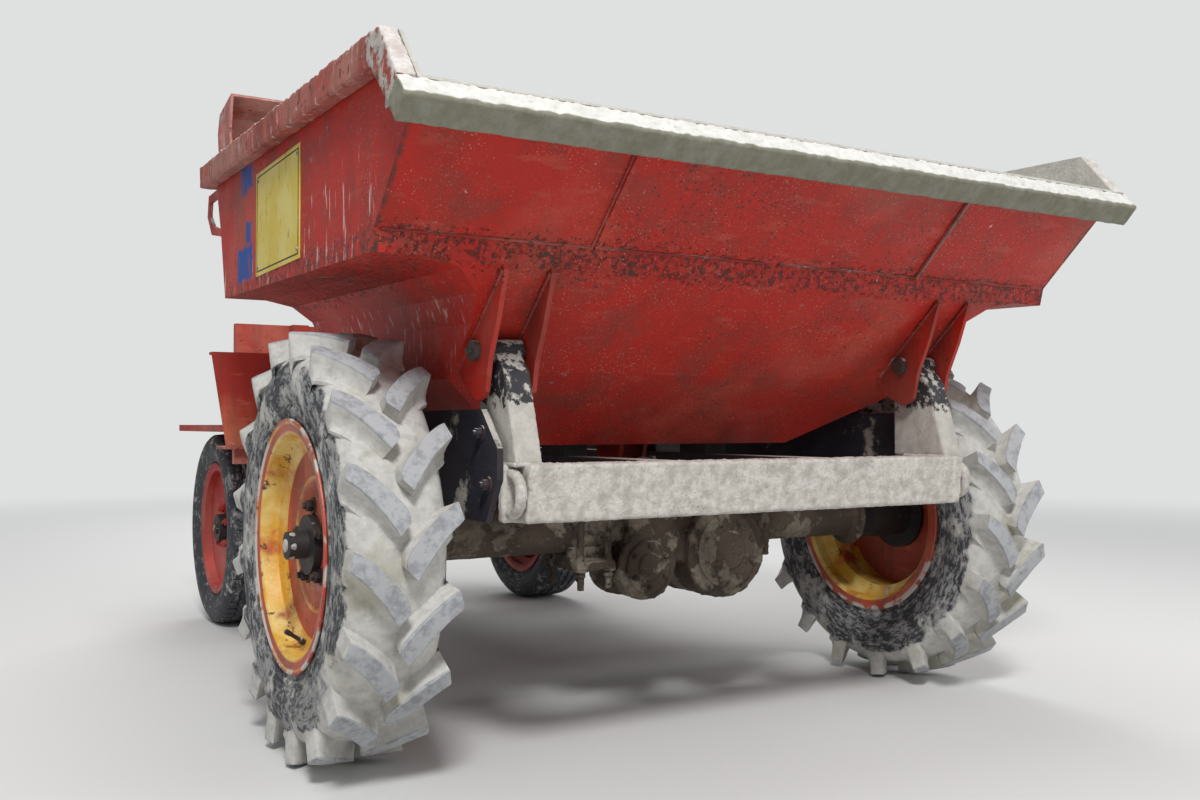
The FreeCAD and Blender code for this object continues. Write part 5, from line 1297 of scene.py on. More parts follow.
@dataclass
class FrontRim(Assembly):
    """A front wheel's drop-centre rim with rolled flanges and its dished disc."""

    side: Side
    steps: int = 128
    # across towards the outside, distance from the axle
    section: tuple[tuple[float, float], ...] = (
        (0.0880, 0.2290), (0.0880, 0.2470), (0.0895, 0.2520), (0.0925, 0.2540),
        (0.0950, 0.2530), (0.0960, 0.2500), (0.0952, 0.2470), (0.0935, 0.2450),
        (0.0925, 0.2400), (0.0920, 0.2320), (0.0900, 0.2255), (0.0860, 0.2225),
        (0.0600, 0.2210), (0.0545, 0.2190), (0.0510, 0.2130), (0.0450, 0.1990),
        (0.0415, 0.1940), (0.0400, 0.1900), (0.0400, 0.1420), (0.0385, 0.1360),
        (0.0340, 0.1300), (0.0340, 0.1060), (0.0385, 0.1000), (0.0400, 0.0950),
        (0.0400, 0.0610), (0.0320, 0.0610), (0.0320, 0.1930), (-0.0440, 0.1930),
        (-0.0600, 0.2210), (-0.0880, 0.2210), (-0.0960, 0.2290), (-0.0960, 0.2520),
        (-0.0940, 0.2540), (-0.0900, 0.2540), (-0.0880, 0.2520), (-0.0880, 0.2290),
        (-0.0530, 0.2290), (-0.0400, 0.2010), (0.0290, 0.2010), (0.0480, 0.2290),
    )

    def build(self) -> bpy.types.Object:
        """Turn the section about the wheel's axle.

        Returns:
            The rim.
        """
        centre = pivot("front_spin_" + self.side.tag)
        form = bmesh.new()
        ring_about_x(form, [(self.side.value * x, r) for x, r in self.section], centre, self.steps)
        rim = self.maker.piece("turned_rim_" + self.side.tag, form, "front_wheel_" + self.side.tag,
                               "front_rim", Slot.RED, 38.0)
        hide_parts("front_rim_" + self.side.tag)
        return rim


@dataclass
class RoadTyre(Assembly):
    """A rear tyre with a worn block tread between zigzag grooves."""

    side: Side
    radius: float = 0.3198
    steps: int = 360
    groove: float = 0.007
    zigzags: int = 60
    # the sidewall's half section: across, distance from the axle
    wall: tuple[tuple[float, float], ...] = (
        (0.0635, 0.206), (0.0645, 0.224), (0.0720, 0.229), (0.0740, 0.236), (0.0840, 0.246),
        (0.0905, 0.262), (0.0915, 0.278), (0.0885, 0.292), (0.0835, 0.303), (0.0760, 0.3115),
    )
    tread_half: float = 0.070
    tread_points: int = 56

    def depth(self, x: float, angle: float) -> float:
        """How deep the tread is cut at a place.

        Args:
            x: distance across from the middle.
            angle: place round the tyre.

        Returns:
            The depth in metres.
        """
        turn = angle * self.zigzags / (2 * math.pi)
        wave = abs(turn - math.floor(turn) - 0.5) * 4 - 1
        depth = 0.0
        for middle in (-0.042, -0.014, 0.014, 0.042):
            gap = abs(x - middle - 0.0042 * wave) - 0.0022
            depth = max(depth, 1.0 - max(0.0, gap) / 0.0016)
        if abs(x) > 0.050:
            cut = abs(turn - math.floor(turn) - 0.5)
            depth = max(depth, 1.0 - max(0.0, cut - 0.09) / 0.06)
        return self.groove * max(0.0, min(1.0, depth))

    def build(self) -> bpy.types.Object:
        """Build the tyre by sinking the grooves into a turned section.

        Returns:
            The tyre.
        """
        centre = pivot("rear_spin_" + self.side.tag)
        steps = self.steps // 1
        form = bmesh.new()
        crown = [(self.tread_half * (1 - 2 * k / self.tread_points), 0.0)
                 for k in range(self.tread_points + 1)]
        half = list(self.wall)
        rings = []
        for step in range(steps):
            angle = 2 * math.pi * step / steps
            row = half + [
                (x, self.radius - 0.0035 * (x / self.tread_half) ** 2 - self.depth(x, angle))
                for x, _ in crown
            ] + [(-x, r) for x, r in reversed(half)]
            rings.append([form.verts.new((centre.x + x, centre.y + r * math.cos(angle),
                                          centre.z + r * math.sin(angle))) for x, r in row])
        for step in range(steps):
            one, two = rings[step], rings[(step + 1) % steps]
            for k in range(len(one)):
                j = (k + 1) % len(one)
                form.faces.new((one[k], one[j], two[j], two[k]))
        tyre = self.maker.piece("road_tyre_" + self.side.tag, form, "rear_wheel_" + self.side.tag,
                                "rear_tyre", Slot.TYRE, 50.0)
        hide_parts("rear_tyre_" + self.side.tag)
        return tyre


@dataclass
class WheelTrim(Assembly):
    """The nuts, valve and grease cap that finish a wheel's outer face."""

    side: Side
    front: bool
    nut: float = 0.026

    def build(self) -> None:
        """Dress the rim and hub, and add the fastenings."""
        tag = self.side.tag
        end = "front" if self.front else "rear"
        centre = pivot("%s_spin_%s" % (end, tag))
        out = Vector((self.side.value, 0.0, 0.0))
        if self.front:
            FrontRim(self.maker, self.side).build()
        else:
            self.maker.dress("rear_rim_red", ["rear_rim_" + tag])
        self.maker.dress("hub_black", ["%s_hub_%s" % (end, tag)])
        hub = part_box("%s_hub_%s" % (end, tag))
        face = abs(centre.x) + (0.0960 - 0.056 if self.front else 0.0730 - 0.034)
        circle = 0.078 if self.front else 0.064
        nuts = bmesh.new()
        for k in range(5):
            angle = 2 * math.pi * (k + 0.2) / 5
            foot = Vector((self.side.value * face, centre.y + circle * math.cos(angle),
                           centre.z + circle * math.sin(angle)))
            bolt_form(nuts, foot, out, self.nut)
        body = "%s_wheel_%s" % (end, tag)
        self.maker.piece("wheel_nuts_%s_%s" % (end, tag), nuts, body,
                         "hub_black" if self.front else "rear_rim_red", Slot.STEEL, bevel=0.0006)
        cap = bmesh.new()
        tip = max(abs(hub[0].x), abs(hub[1].x))
        foot = Vector((self.side.value * (tip - 0.013), centre.y, centre.z))
        size = 0.030 if self.front else 0.022
        turned_form(cap, foot, out, ((0.0, size), (0.004, size * 1.02), (0.011, size * 0.98),
                                     (0.0128, size * 0.80)), 6)
        turned_form(cap, foot, out, ((0.0125, size * 0.44), (0.0165, size * 0.44),
                                     (0.018, size * 0.30)), 20)
        self.maker.piece("hub_nut_%s_%s" % (end, tag), cap, body,
                         "cap_pale" if self.front else "worn_steel", Slot.STEEL, bevel=0.0006)
        if self.front:
            self.valve(centre, face, body)

    def valve(self, centre: Vector, face: float, body: str) -> None:
        """The valve that leans out of the rim's well near the disc's foot.

        Args:
            centre: the wheel's centre.
            face: the disc's outer face, as a distance from the middle.
            body: the wheel's body.
        """
        form = bmesh.new()
        foot = Vector((self.side.value * (face + 0.012), centre.y + 0.035, centre.z - 0.200))
        way = Vector((self.side.value * 0.8, -0.05, 0.55)).normalized()
        turned_form(form, foot, way, ((-0.004, 0.007), (0.006, 0.007), (0.008, 0.0042),
                                      (0.030, 0.0042), (0.032, 0.0055), (0.042, 0.0055),
                                      (0.044, 0.0035)), 14)
        self.maker.piece("tyre_valve_" + self.side.tag, form, body, "hub_black", Slot.STEEL)


@dataclass
class Skip(Assembly):
    """The tipping tub with its caked lip and rim, welds, sign and handles."""

    body: str = "skip"
    sign_size: tuple[float, float] = (0.350, 0.234)
    sign_low: tuple[float, float] = (-0.757, 1.006)
    sign_thick: float = 0.0022
    weld: float = 0.0042

    def build(self) -> None:
        """Dress the tub and add its pieces."""
        self.maker.dress("skip_body", ["skip_tub", "panel_ribs"])
        self.maker.dress("handle_red", ["skip_handles"])
        self.maker.dress("guard_red", ["spill_guard"])
        self.maker.dress("ear_red", ["skip_ears", "rod_bracket"])
        self.maker.dress("pin_steel", ["hinge_pins"])
        self.maker.caked("caked_lip", "skip_lip", self.body, "lip_cement", Slot.SKIP,
                         Crust(0.0045, 0.0004, 0.0009, 0.016, 1.0, 0.0016))
        self.maker.caked("caked_rim", "skip_rim", self.body, "rim_cement", Slot.SKIP,
                         Crust(0.0050, 0.0002, 0.0007, 0.020, 2.0, 0.0026))
        self.ear_welds()
        self.rib_welds()
        self.sign()
        self.pin_keepers()

    def ear_welds(self) -> None:
        """Beads along both faces of each ear where it meets the tub."""
        pin = pivot("skip_tip")
        low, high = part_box("skip_ears")
        form = bmesh.new()
        top = Vector((0.0, low.y + 0.004, high.z - 0.010))
        foot = Vector((0.0, pin.y + 0.078, pin.z - 0.030))
        seed = 0
        for middle in (0.503, 0.600):
            for side in Side:
                for face in (-1, 1):
                    x = side.value * middle + face * 0.0055
                    seed += 1
                    weld_form(form, Vector((x, top.y, top.z)), Vector((x, foot.y, foot.z)),
                              self.weld, seed)
        self.maker.piece("ear_welds", form, self.body, "weld_red", Slot.SKIP, 80.0)

    def rib_welds(self) -> None:
        """Beads down both sides of the front panel's ribs, and along the fold."""
        low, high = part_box("panel_ribs")
        form = bmesh.new()
        seed = 50
        for side in Side:
            for x in (0.4140, 0.4280):
                seed += 1
                weld_form(form, Vector((side.value * x, low.y + 0.008, high.z - 0.004)),
                          Vector((side.value * x, high.y - 0.002, low.z + 0.006)), self.weld * 0.8,
                          seed)
        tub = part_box("skip_tub")
        fold_y, fold_z = high.y, low.z + 0.0065
        for side in Side:
            weld_form(form, Vector((side.value * 0.02, fold_y, fold_z)),
                      Vector((side.value * (tub[1].x - 0.012), fold_y, fold_z)),
                      self.weld * 0.8, seed + side.value)
        self.maker.piece("panel_welds", form, self.body, "weld_red", Slot.SKIP, 80.0)

    def sign(self) -> None:
        """The blank yellow sign on the right side, in its dark printed border."""
        wall = -0.852
        y, z = self.sign_low
        wide, high = self.sign_size
        plate = bmesh.new()
        box_form(plate, (wall - self.sign_thick, y, z), (wall, y + wide, z + high))
        self.maker.piece("sign_plate", plate, self.body, "sign_yellow", Slot.SKIP, bevel=0.0008)
        border = bmesh.new()
        bar, edge, face = 0.0028, 0.009, wall - self.sign_thick
        spans = ((y + edge, y + wide - edge, z + edge, z + edge + bar),
                 (y + edge, y + wide - edge, z + high - edge - bar, z + high - edge),
                 (y + edge, y + edge + bar, z + edge + bar, z + high - edge - bar),
                 (y + wide - edge - bar, y + wide - edge, z + edge + bar, z + high - edge - bar))
        for y0, y1, z0, z1 in spans:
            box_form(border, (face - 0.0005, y0, z0), (face, y1, z1))
        self.maker.piece("sign_border", border, self.body, "sign_rim_black", Slot.SKIP)
        rivets = bmesh.new()
        for spot_y in (y + 0.018, y + wide - 0.018):
            for spot_z in (z + 0.020, z + high - 0.020):
                turned_form(rivets, Vector((face, spot_y, spot_z)), Vector((-1, 0, 0)),
                            ((0.0, 0.0048), (0.0012, 0.0044), (0.0022, 0.0024)), 14)
        self.maker.piece("sign_rivets", rivets, self.body, "worn_steel", Slot.STEEL)

    def pin_keepers(self) -> None:
        """A collar at each hinge pin's inner end and a grease nipple at its outer end."""
        pin = pivot("skip_tip")
        form = bmesh.new()
        for side in Side:
            out = Vector((side.value, 0, 0))
            inner = Vector((side.value * 0.4985, pin.y, pin.z))
            turned_form(form, inner, -out, ((0.0, 0.0205), (0.0100, 0.0205), (0.0115, 0.0180)))
            outer = Vector((side.value * 0.6170, pin.y, pin.z))
            turned_form(form, outer, out, ((-0.002, 0.0060), (0.004, 0.0060), (0.0055, 0.0035),
                                           (0.0095, 0.0035), (0.0110, 0.0045), (0.0125, 0.0020)),
                        14)
        self.maker.piece("pin_keepers", form, self.body, "pin_steel", Slot.STEEL)


@dataclass
class Chassis(Assembly):
    """Frame, front beam, posts, side plates, axle and everything bolted low down."""

    body: str = "chassis"

    def build(self) -> None:
        """Dress the nodes and add crusts, bolts and welds."""
        self.maker.dress("chassis_black", ["chassis_frame"])
        self.maker.dress("side_plate_black", ["side_plates"])
        self.maker.dress("rest_rubber_worn", ["skip_rests"])
        self.maker.dress("worn_steel", ["drive_shaft"])
        self.maker.dress("pin_steel", ["ram_pin"])
        self.maker.dress("cast_grey", ["gearbox"])
        self.maker.dress("tank_black", ["fuel_tank", "oil_tank"])
        self.maker.caked("caked_beam", "front_beam", self.body, "beam_cement", Slot.BLACK,
                         Crust(0.0045, 0.0003, 0.0008, 0.014, 4.0, 0.0016))
        self.maker.caked("caked_loops", "lashing_loops", self.body, "beam_cement", Slot.BLACK,
                         Crust(0.0030, 0.0002, 0.0009, 0.012, 5.0))
        self.maker.caked("splashed_posts", "skip_posts", self.body, "post_black", Slot.BLACK,
                         Crust(0.0036, 0.0001, 0.0005, 0.014, 6.0))
        self.maker.caked("crusted_case", "gear_case", self.body, "axle_crust", Slot.IRON,
                         Crust(0.0052, 0.0008, 0.0026, 0.026, 7.0, 0.0030))
        self.maker.caked("crusted_clamp", "axle_clamp", self.body, "axle_crust", Slot.BLACK,
                         Crust(0.0045, 0.0004, 0.0018, 0.018, 8.0, 0.0020))
        self.maker.caked("crusted_axle", "front_axle", self.body, "axle_crust", Slot.BLACK,
                         Crust(0.0060, 0.0001, 0.0006, 0.024, 9.0))
        self.case_trim()
        self.clamp_nuts()
        self.post_welds()
        self.plate_bolts()
        self.tank_trim()

    def case_trim(self) -> None:
        """Bolted covers on the front of the axle's two round housings, and a drain plug."""
        low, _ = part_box("gear_case")
        front = Vector((0, -1, 0))
        form = bmesh.new()
        for x, z, radius, face, bolts in ((0.150, 0.372, 0.088, low.y, 8),
                                          (-0.062, 0.345, 0.060, low.y + 0.020, 6)):
            foot = Vector((x, face + 0.001, z))
            turned_form(form, foot, front, ((-0.004, radius), (0.007, radius),
                                            (0.010, radius * 0.93), (0.010, radius * 0.55),
                                            (0.015, radius * 0.48), (0.016, radius * 0.2)), 40)
            for k in range(bolts):
                angle = 2 * math.pi * (k + 0.5) / bolts
                bolt_form(form, foot + Vector((radius * 0.80 * math.cos(angle), -0.008,
                                               radius * 0.80 * math.sin(angle))), front, 0.013)
        turned_form(form, Vector((0.150, -0.747, 0.262)), Vector((0, 0, -1)),
                    ((-0.004, 0.014), (0.002, 0.014), (0.002, 0.009), (0.008, 0.009)), 6)
        self.maker.piece("case_covers", form, self.body, "axle_crust", Slot.IRON, bevel=0.0005)

    def clamp_nuts(self) -> None:
        """Nuts on the clamp's bolts, under its pad."""
        axle = pivot("front_spin_left")
        form = bmesh.new()
        for x in (-0.236, -0.164):
            for y in (axle.y - 0.066, axle.y + 0.066):
                bolt_form(form, Vector((x, y, 0.3450)), Vector((0, 0, -1)), 0.026)
        self.maker.piece("clamp_nuts", form, self.body, "axle_crust", Slot.STEEL, bevel=0.0005)

    def post_welds(self) -> None:
        """Beads round the feet of the two posts."""
        low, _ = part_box("skip_posts")
        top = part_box("front_beam")[1].z
        form = bmesh.new()
        back = low.y + 0.128
        for side in Side:
            xs = (side.value * 0.5235, side.value * 0.5765)
            corners = [Vector((xs[0], low.y + 0.002, top)), Vector((xs[1], low.y + 0.002, top)),
                       Vector((xs[1], back, top)), Vector((xs[0], back, top))]
            for k, corner in enumerate(corners):
                weld_form(form, corner, corners[(k + 1) % 4], 0.0045, 70 + k + 10 * side.value)
        self.maker.piece("post_welds", form, self.body, "beam_cement", Slot.BLACK, 80.0)

    def plate_bolts(self) -> None:
        """Rows of bolts through the side plates and the cross tubes' ends."""
        _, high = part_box("side_plates")
        form = bmesh.new()
        for side in Side:
            out = Vector((side.value, 0, 0))
            for y, z in ((-1.110, 0.560), (-1.080, 0.655), (-0.285, 0.478), (-0.250, 0.478),
                         (-0.470, 0.650), (-0.620, 0.655)):
                bolt_form(form, Vector((side.value * high.x, y, z)), out, 0.022)
        self.maker.piece("side_plate_bolts", form, self.body, "side_plate_black", Slot.STEEL,
                         bevel=0.0005)

    def tank_trim(self) -> None:
        """Straps over both tanks and their knurled caps."""
        form = bmesh.new()
        caps = bmesh.new()
        for name in ("fuel_tank", "oil_tank"):
            low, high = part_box(name)
            top = high.z - 0.030
            for y in (low.y + 0.09, high.y - 0.13):
                for spot, end in (((low.x - 0.0025, y, low.z), (low.x, y + 0.03, top)),
                                  ((high.x, y, low.z), (high.x + 0.0025, y + 0.03, top)),
                                  ((low.x - 0.0025, y, top), (high.x + 0.0025, y + 0.03,
                                                              top + 0.0025))):
                    box_form(form, spot, end)
            middle = Vector(((low.x + high.x) / 2, high.y - 0.060, high.z - 0.012))
            turned_form(caps, middle, Vector((0, 0, 1)),
                        ((0.0, 0.0345), (0.010, 0.0345), (0.0118, 0.031), (0.012, 0.012)), 48)
            for k in range(24):
                angle = 2 * math.pi * k / 24
                rim = middle + 0.0345 * Vector((math.cos(angle), math.sin(angle), 0))
                turned_form(caps, rim, Vector((0, 0, 1)), ((0.001, 0.0016), (0.0095, 0.0016)), 6)
        self.maker.piece("tank_straps", form, self.body, "worn_steel", Slot.BLACK, bevel=0.0006)
        self.maker.piece("tank_caps", caps, self.body, "grip_black", Slot.BLACK)


@dataclass
class Ram(Assembly):
    """The tipping cylinder's barrel and rod with their gland and hose unions."""

    def build(self) -> None:
        """Dress both nodes and add the gland ring and the two unions."""
        self.maker.dress("chassis_black", ["lift_barrel"])
        self.maker.dress("ram_rod_steel", ["lift_rod"])
        foot = pivot("ram_swing")
        way = Vector(JOINTS["ram_extend"]["axis"]).normalized()
        length = 0.383
        form = bmesh.new()
        turned_form(form, foot + way * (length - 0.020), way,
                    ((0.0, 0.0385), (0.004, 0.0400), (0.014, 0.0400), (0.018, 0.0385)), 36)
        up = Vector((1, 0, 0)).cross(way).normalized()
        for reach in (0.070, length - 0.050):
            spot = foot + way * reach + up * 0.029
            turned_form(form, spot, up, ((0.0, 0.0120), (0.009, 0.0120), (0.010, 0.0090),
                                         (0.016, 0.0090)), 6)
        self.maker.piece("ram_gland", form, "ram_barrel", "worn_steel", Slot.STEEL, bevel=0.0004)


@dataclass
class Engine(Assembly):
    """The air-cooled engine's covers, cowl grille, filter bands and pipes."""

    body: str = "chassis"
    grille_rings: int = 7

    def build(self) -> None:
        """Dress the engine's nodes and add its trim."""
        self.maker.dress("engine_iron", ["engine_block", "engine_cylinders"])
        self.maker.dress("chassis_black", ["flywheel_cowl"])
        self.maker.dress("exhaust_rust", ["exhaust"])
        self.maker.dress("tank_black", ["air_filter"])
        self.rockers()
        self.grille()
        self.filter_trim()
        self.block_trim()
        self.pipe_end()

    def rockers(self) -> None:
        """A finned cover on each cylinder head."""
        low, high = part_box("engine_cylinders")
        form = bmesh.new()
        for y in (low.y + 0.074, high.y - 0.074):
            top = high.z - 0.002
            box_form(form, (-0.046, y - 0.040, top), (0.046, y + 0.040, top + 0.018), 0.005)
            for k in range(5):
                x = -0.030 + 0.015 * k
                box_form(form, (x - 0.002, y - 0.033, top + 0.017), (x + 0.002, y + 0.033,
                                                                     top + 0.022))
        self.maker.piece("rocker_covers", form, self.body, "cast_grey", Slot.IRON, bevel=0.0018)

    def grille(self) -> None:
        """Wire rings and bars over the flywheel cowl's intake."""
        low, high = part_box("flywheel_cowl")
        face = high.y - 0.030
        middle = Vector((0.0, face + 0.004, (low.z + high.z) / 2))
        form = bmesh.new()
        for k in range(self.grille_rings):
            radius = 0.068 + 0.010 * k
            path = [middle + Vector((radius * math.cos(a), 0, radius * math.sin(a)))
                    for a in (2 * math.pi * j / 48 for j in range(48))]
            tube_form(form, path, lambda share: 0.0018, 6, True)
        for k in range(6):
            angle = math.pi * (k + 0.5) / 3
            way = Vector((math.cos(angle), 0, math.sin(angle)))
            tube_form(form, [middle + way * 0.058, middle + way * 0.134],
                      lambda share: 0.0028, 8)
            bolt_form(form, middle + way * 0.140 - Vector((0, 0.004, 0)), Vector((0, 1, 0)),
                      0.013)
        self.maker.piece("cowl_grille", form, self.body, "worn_steel", Slot.STEEL)

    def filter_trim(self) -> None:
        """The filter's bands and its rain cap, which ends in a short stem."""
        low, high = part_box("air_filter")
        middle = Vector(((high.x - 0.056), (low.y + high.y) / 2, 0.0))
        up = Vector((0, 0, 1))
        form = bmesh.new()
        for height in (low.z + 0.030, high.z - 0.045):
            turned_form(form, middle + up * height, up,
                        ((0.0, 0.0572), (0.0015, 0.0582), (0.0125, 0.0582), (0.014, 0.0572)), 40)
        turned_form(form, middle + up * (high.z - 0.004), up,
                    ((0.0, 0.060), (0.004, 0.061), (0.012, 0.052), (0.018, 0.028),
                     (0.020, 0.008), (0.030, 0.007)), 40)
        self.maker.piece("filter_bands", form, self.body, "worn_steel", Slot.BLACK)

    def block_trim(self) -> None:
        """Side covers, their bolts and an oil filter on the block."""
        low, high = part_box("engine_block")
        form = bmesh.new()
        for side in Side:
            x = side.value * 0.160
            out = Vector((side.value, 0, 0))
            y0, y1, z0, z1 = low.y + 0.20, high.y - 0.04, 0.625, 0.735
            box_form(form, (min(x, x + side.value * 0.007), y0, z0),
                     (max(x, x + side.value * 0.007), y1, z1))
            for y in (y0 + 0.015, (y0 + y1) / 2, y1 - 0.015):
                for z in (z0 + 0.014, z1 - 0.014):
                    bolt_form(form, Vector((x + side.value * 0.007, y, z)), out, 0.013)
        spot = Vector((-0.160, low.y + 0.120, 0.665))
        turned_form(form, spot, Vector((-1, 0, 0)), ((0.0, 0.026), (0.006, 0.033),
                                                     (0.060, 0.033), (0.068, 0.026)), 32)
        self.maker.piece("block_covers", form, self.body, "cast_grey", Slot.IRON, bevel=0.0008)

    def pipe_end(self) -> None:
        """The silencer's end seams and the open lip of its tail pipe."""
        low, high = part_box("exhaust")
        aft = Vector((0, 1, 0))
        form = bmesh.new()
        axis = Vector((-0.209, 0.0, 0.760))
        for y in (low.y - 0.001, low.y + 0.293):
            turned_form(form, axis + aft * y, aft, ((0.0, 0.0440), (0.002, 0.0472),
                                                    (0.006, 0.0472), (0.008, 0.0440)), 40)
        ring_profile = ((0.0, 0.0210), (0.003, 0.0225), (0.010, 0.0225), (0.0125, 0.0205))
        turned_form(form, axis + aft * (high.y - 0.0125), aft, ring_profile, 28)
        self.maker.piece("exhaust_seams", form, self.body, "exhaust_rust", Slot.STEEL)


@dataclass
class SeatPad(Assembly):
    """One stuffed pad of the seat: simulated cloth over a slightly smaller block."""

    name: str
    node: str
    channels: tuple[float, ...]
    upright: bool
    inset: float = 0.015
    voxel: float = 0.006
    pressure: float = 4.0
    frames: int = 20
    cap: float = 0.024
    cord: float = 0.0042
    stitches: int = 144

    def start_mesh(self) -> bpy.types.Mesh:
        """The node's block, a little smaller on the sides that swell.

        Returns:
            An even mesh.
        """
        low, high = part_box(self.node)
        source = frame["nodes"][self.node].data.copy()
        middle = (low + high) / 2
        half = (high - low) / 2
        for vertex in source.vertices:
            for k in range(3):
                shrink = (half[k] - self.inset) / half[k]
                vertex.co[k] = middle[k] + (vertex.co[k] - middle[k]) * shrink
            vertex.co[1 if self.upright else 2] += (self.inset if self.upright else
                                                    -self.inset)
        mesh = self.maker.skin(source, self.voxel)
        bpy.data.meshes.remove(source)
        return mesh

    def build(self) -> bpy.types.Object:
        """Inflate the pad, press its sewn channels in, and lay piping round its edge.

        Returns:
            The pad.
        """
        mesh = self.start_mesh()
        mesh.name = self.name
        pad = bpy.data.objects.new(self.name, mesh)
        bpy.context.scene.collection.objects.link(pad)
        low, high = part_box(self.node)
        rest = [vertex.co.copy() for vertex in mesh.vertices]
        self.inflate(pad)
        for vertex, start in zip(mesh.vertices, rest):
            move = vertex.co - start
            if move.length > self.cap:
                vertex.co = start + move * (self.cap / move.length)
        self.stitch(mesh, low, high)
        for vertex in mesh.vertices:
            for k in range(3):
                vertex.co[k] = min(max(vertex.co[k], low[k] - 0.006), high[k] + 0.006)
        mesh.update()
        mesh.shade_smooth()
        smooth = pad.modifiers.new("smooth", "SUBSURF")
        smooth.levels = 1
        smooth.render_levels = 1
        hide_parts(self.node)
        self.maker.own(pad, "chassis", "seat_vinyl", Slot.VINYL)
        self.piping(mesh, low, high)
        return pad

    def inflate(self, pad: bpy.types.Object) -> None:
        """Run the cloth simulation and keep its result in the mesh.

        Args:
            pad: the pad's object.
        """
        held = pad.vertex_groups.new(name="held")
        back = max(v.co.y for v in pad.data.vertices) if self.upright else min(
            v.co.z for v in pad.data.vertices)
        for vertex in pad.data.vertices:
            gap = back - vertex.co.y if self.upright else vertex.co.z - back
            if gap < 0.008:
                held.add([vertex.index], 1.0, "REPLACE")
        cloth = pad.modifiers.new("stuffing", "CLOTH")
        cloth.settings.quality = 4
        cloth.settings.use_pressure = True
        cloth.settings.uniform_pressure_force = self.pressure
        cloth.settings.effector_weights.gravity = 0.0
        cloth.settings.vertex_group_mass = "held"
        cloth.settings.tension_stiffness = 22.0
        cloth.settings.compression_stiffness = 22.0
        scene = bpy.context.scene
        for number in range(1, self.frames + 1):
            scene.frame_set(number)
        depsgraph = bpy.context.evaluated_depsgraph_get()
        moved = [v.co.copy() for v in pad.evaluated_get(depsgraph).data.vertices]
        pad.modifiers.remove(cloth)
        for vertex, spot in zip(pad.data.vertices, moved):
            vertex.co = spot
        scene.frame_set(1)

    def crown(self, mesh: bpy.types.Mesh, low: Vector, high: Vector) -> None:
        """A quick stand-in for the simulation: swell the faces towards their middles.

        Args:
            mesh: the pad's mesh.
            low: the node's lowest corner.
            high: the node's highest corner.
        """
        middle, half = (low + high) / 2, (high - low) / 2
        for vertex in mesh.vertices:
            share = [(vertex.co[k] - middle[k]) / half[k] for k in range(3)]
            for k in range(3):
                others = [1 - min(1.0, abs(share[j])) ** 2 for j in range(3) if j != k]
                vertex.co[k] += math.copysign(0.016, share[k]) * abs(share[k]) * math.prod(others)

    def stitch(self, mesh: bpy.types.Mesh, low: Vector, high: Vector) -> None:
        """Press the sewn channels into the face that the driver touches.

        Args:
            mesh: the pad's mesh.
            low: the node's lowest corner.
            high: the node's highest corner.
        """
        along = 2 if self.upright else 1
        front = (low.y + high.y) / 2 if self.upright else (low.z + high.z) / 2
        for vertex in mesh.vertices:
            height = front - vertex.co.y if self.upright else vertex.co.z - front
            if height <= 0.0:
                continue
            for share in self.channels:
                gap = vertex.co[along] - (low[along] + share * (high[along] - low[along]))
                press = 0.010 * math.exp(-((gap / 0.007) ** 2)) * min(1.0, height / 0.02)
                vertex.co[1 if self.upright else 2] += press if self.upright else -press

    def piping(self, mesh: bpy.types.Mesh, low: Vector, high: Vector) -> None:
        """A sewn cord round the pad's side, half way up, laid on the swollen cloth.

        Args:
            mesh: the swollen pad.
            low: the node's lowest corner.
            high: the node's highest corner.
        """
        skin = bmesh.new()
        skin.from_mesh(mesh)
        cloth = BVHTree.FromBMesh(skin)
        skin.free()
        middle, half = (low + high) / 2, (high - low) / 2
        other = 2 if self.upright else 1
        path = []
        for k in range(self.stitches):
            angle = 2 * math.pi * (k + 0.5) / self.stitches
            out = Vector((0, 0, 0))
            for axis, swing in ((0, math.cos(angle)), (other, math.sin(angle))):
                out[axis] = math.copysign(abs(swing) ** 0.4, swing) * half[axis] * 1.3
            spot, normal, _, _ = cloth.ray_cast(middle + out, -out)
            if spot is not None:
                path.append(spot + normal * self.cord * 0.3)
        form = bmesh.new()
        tube_form(form, path, lambda share: self.cord, 8, True)
        self.maker.piece(self.name + "_piping", form, "chassis", "seat_vinyl", Slot.VINYL, 80.0)


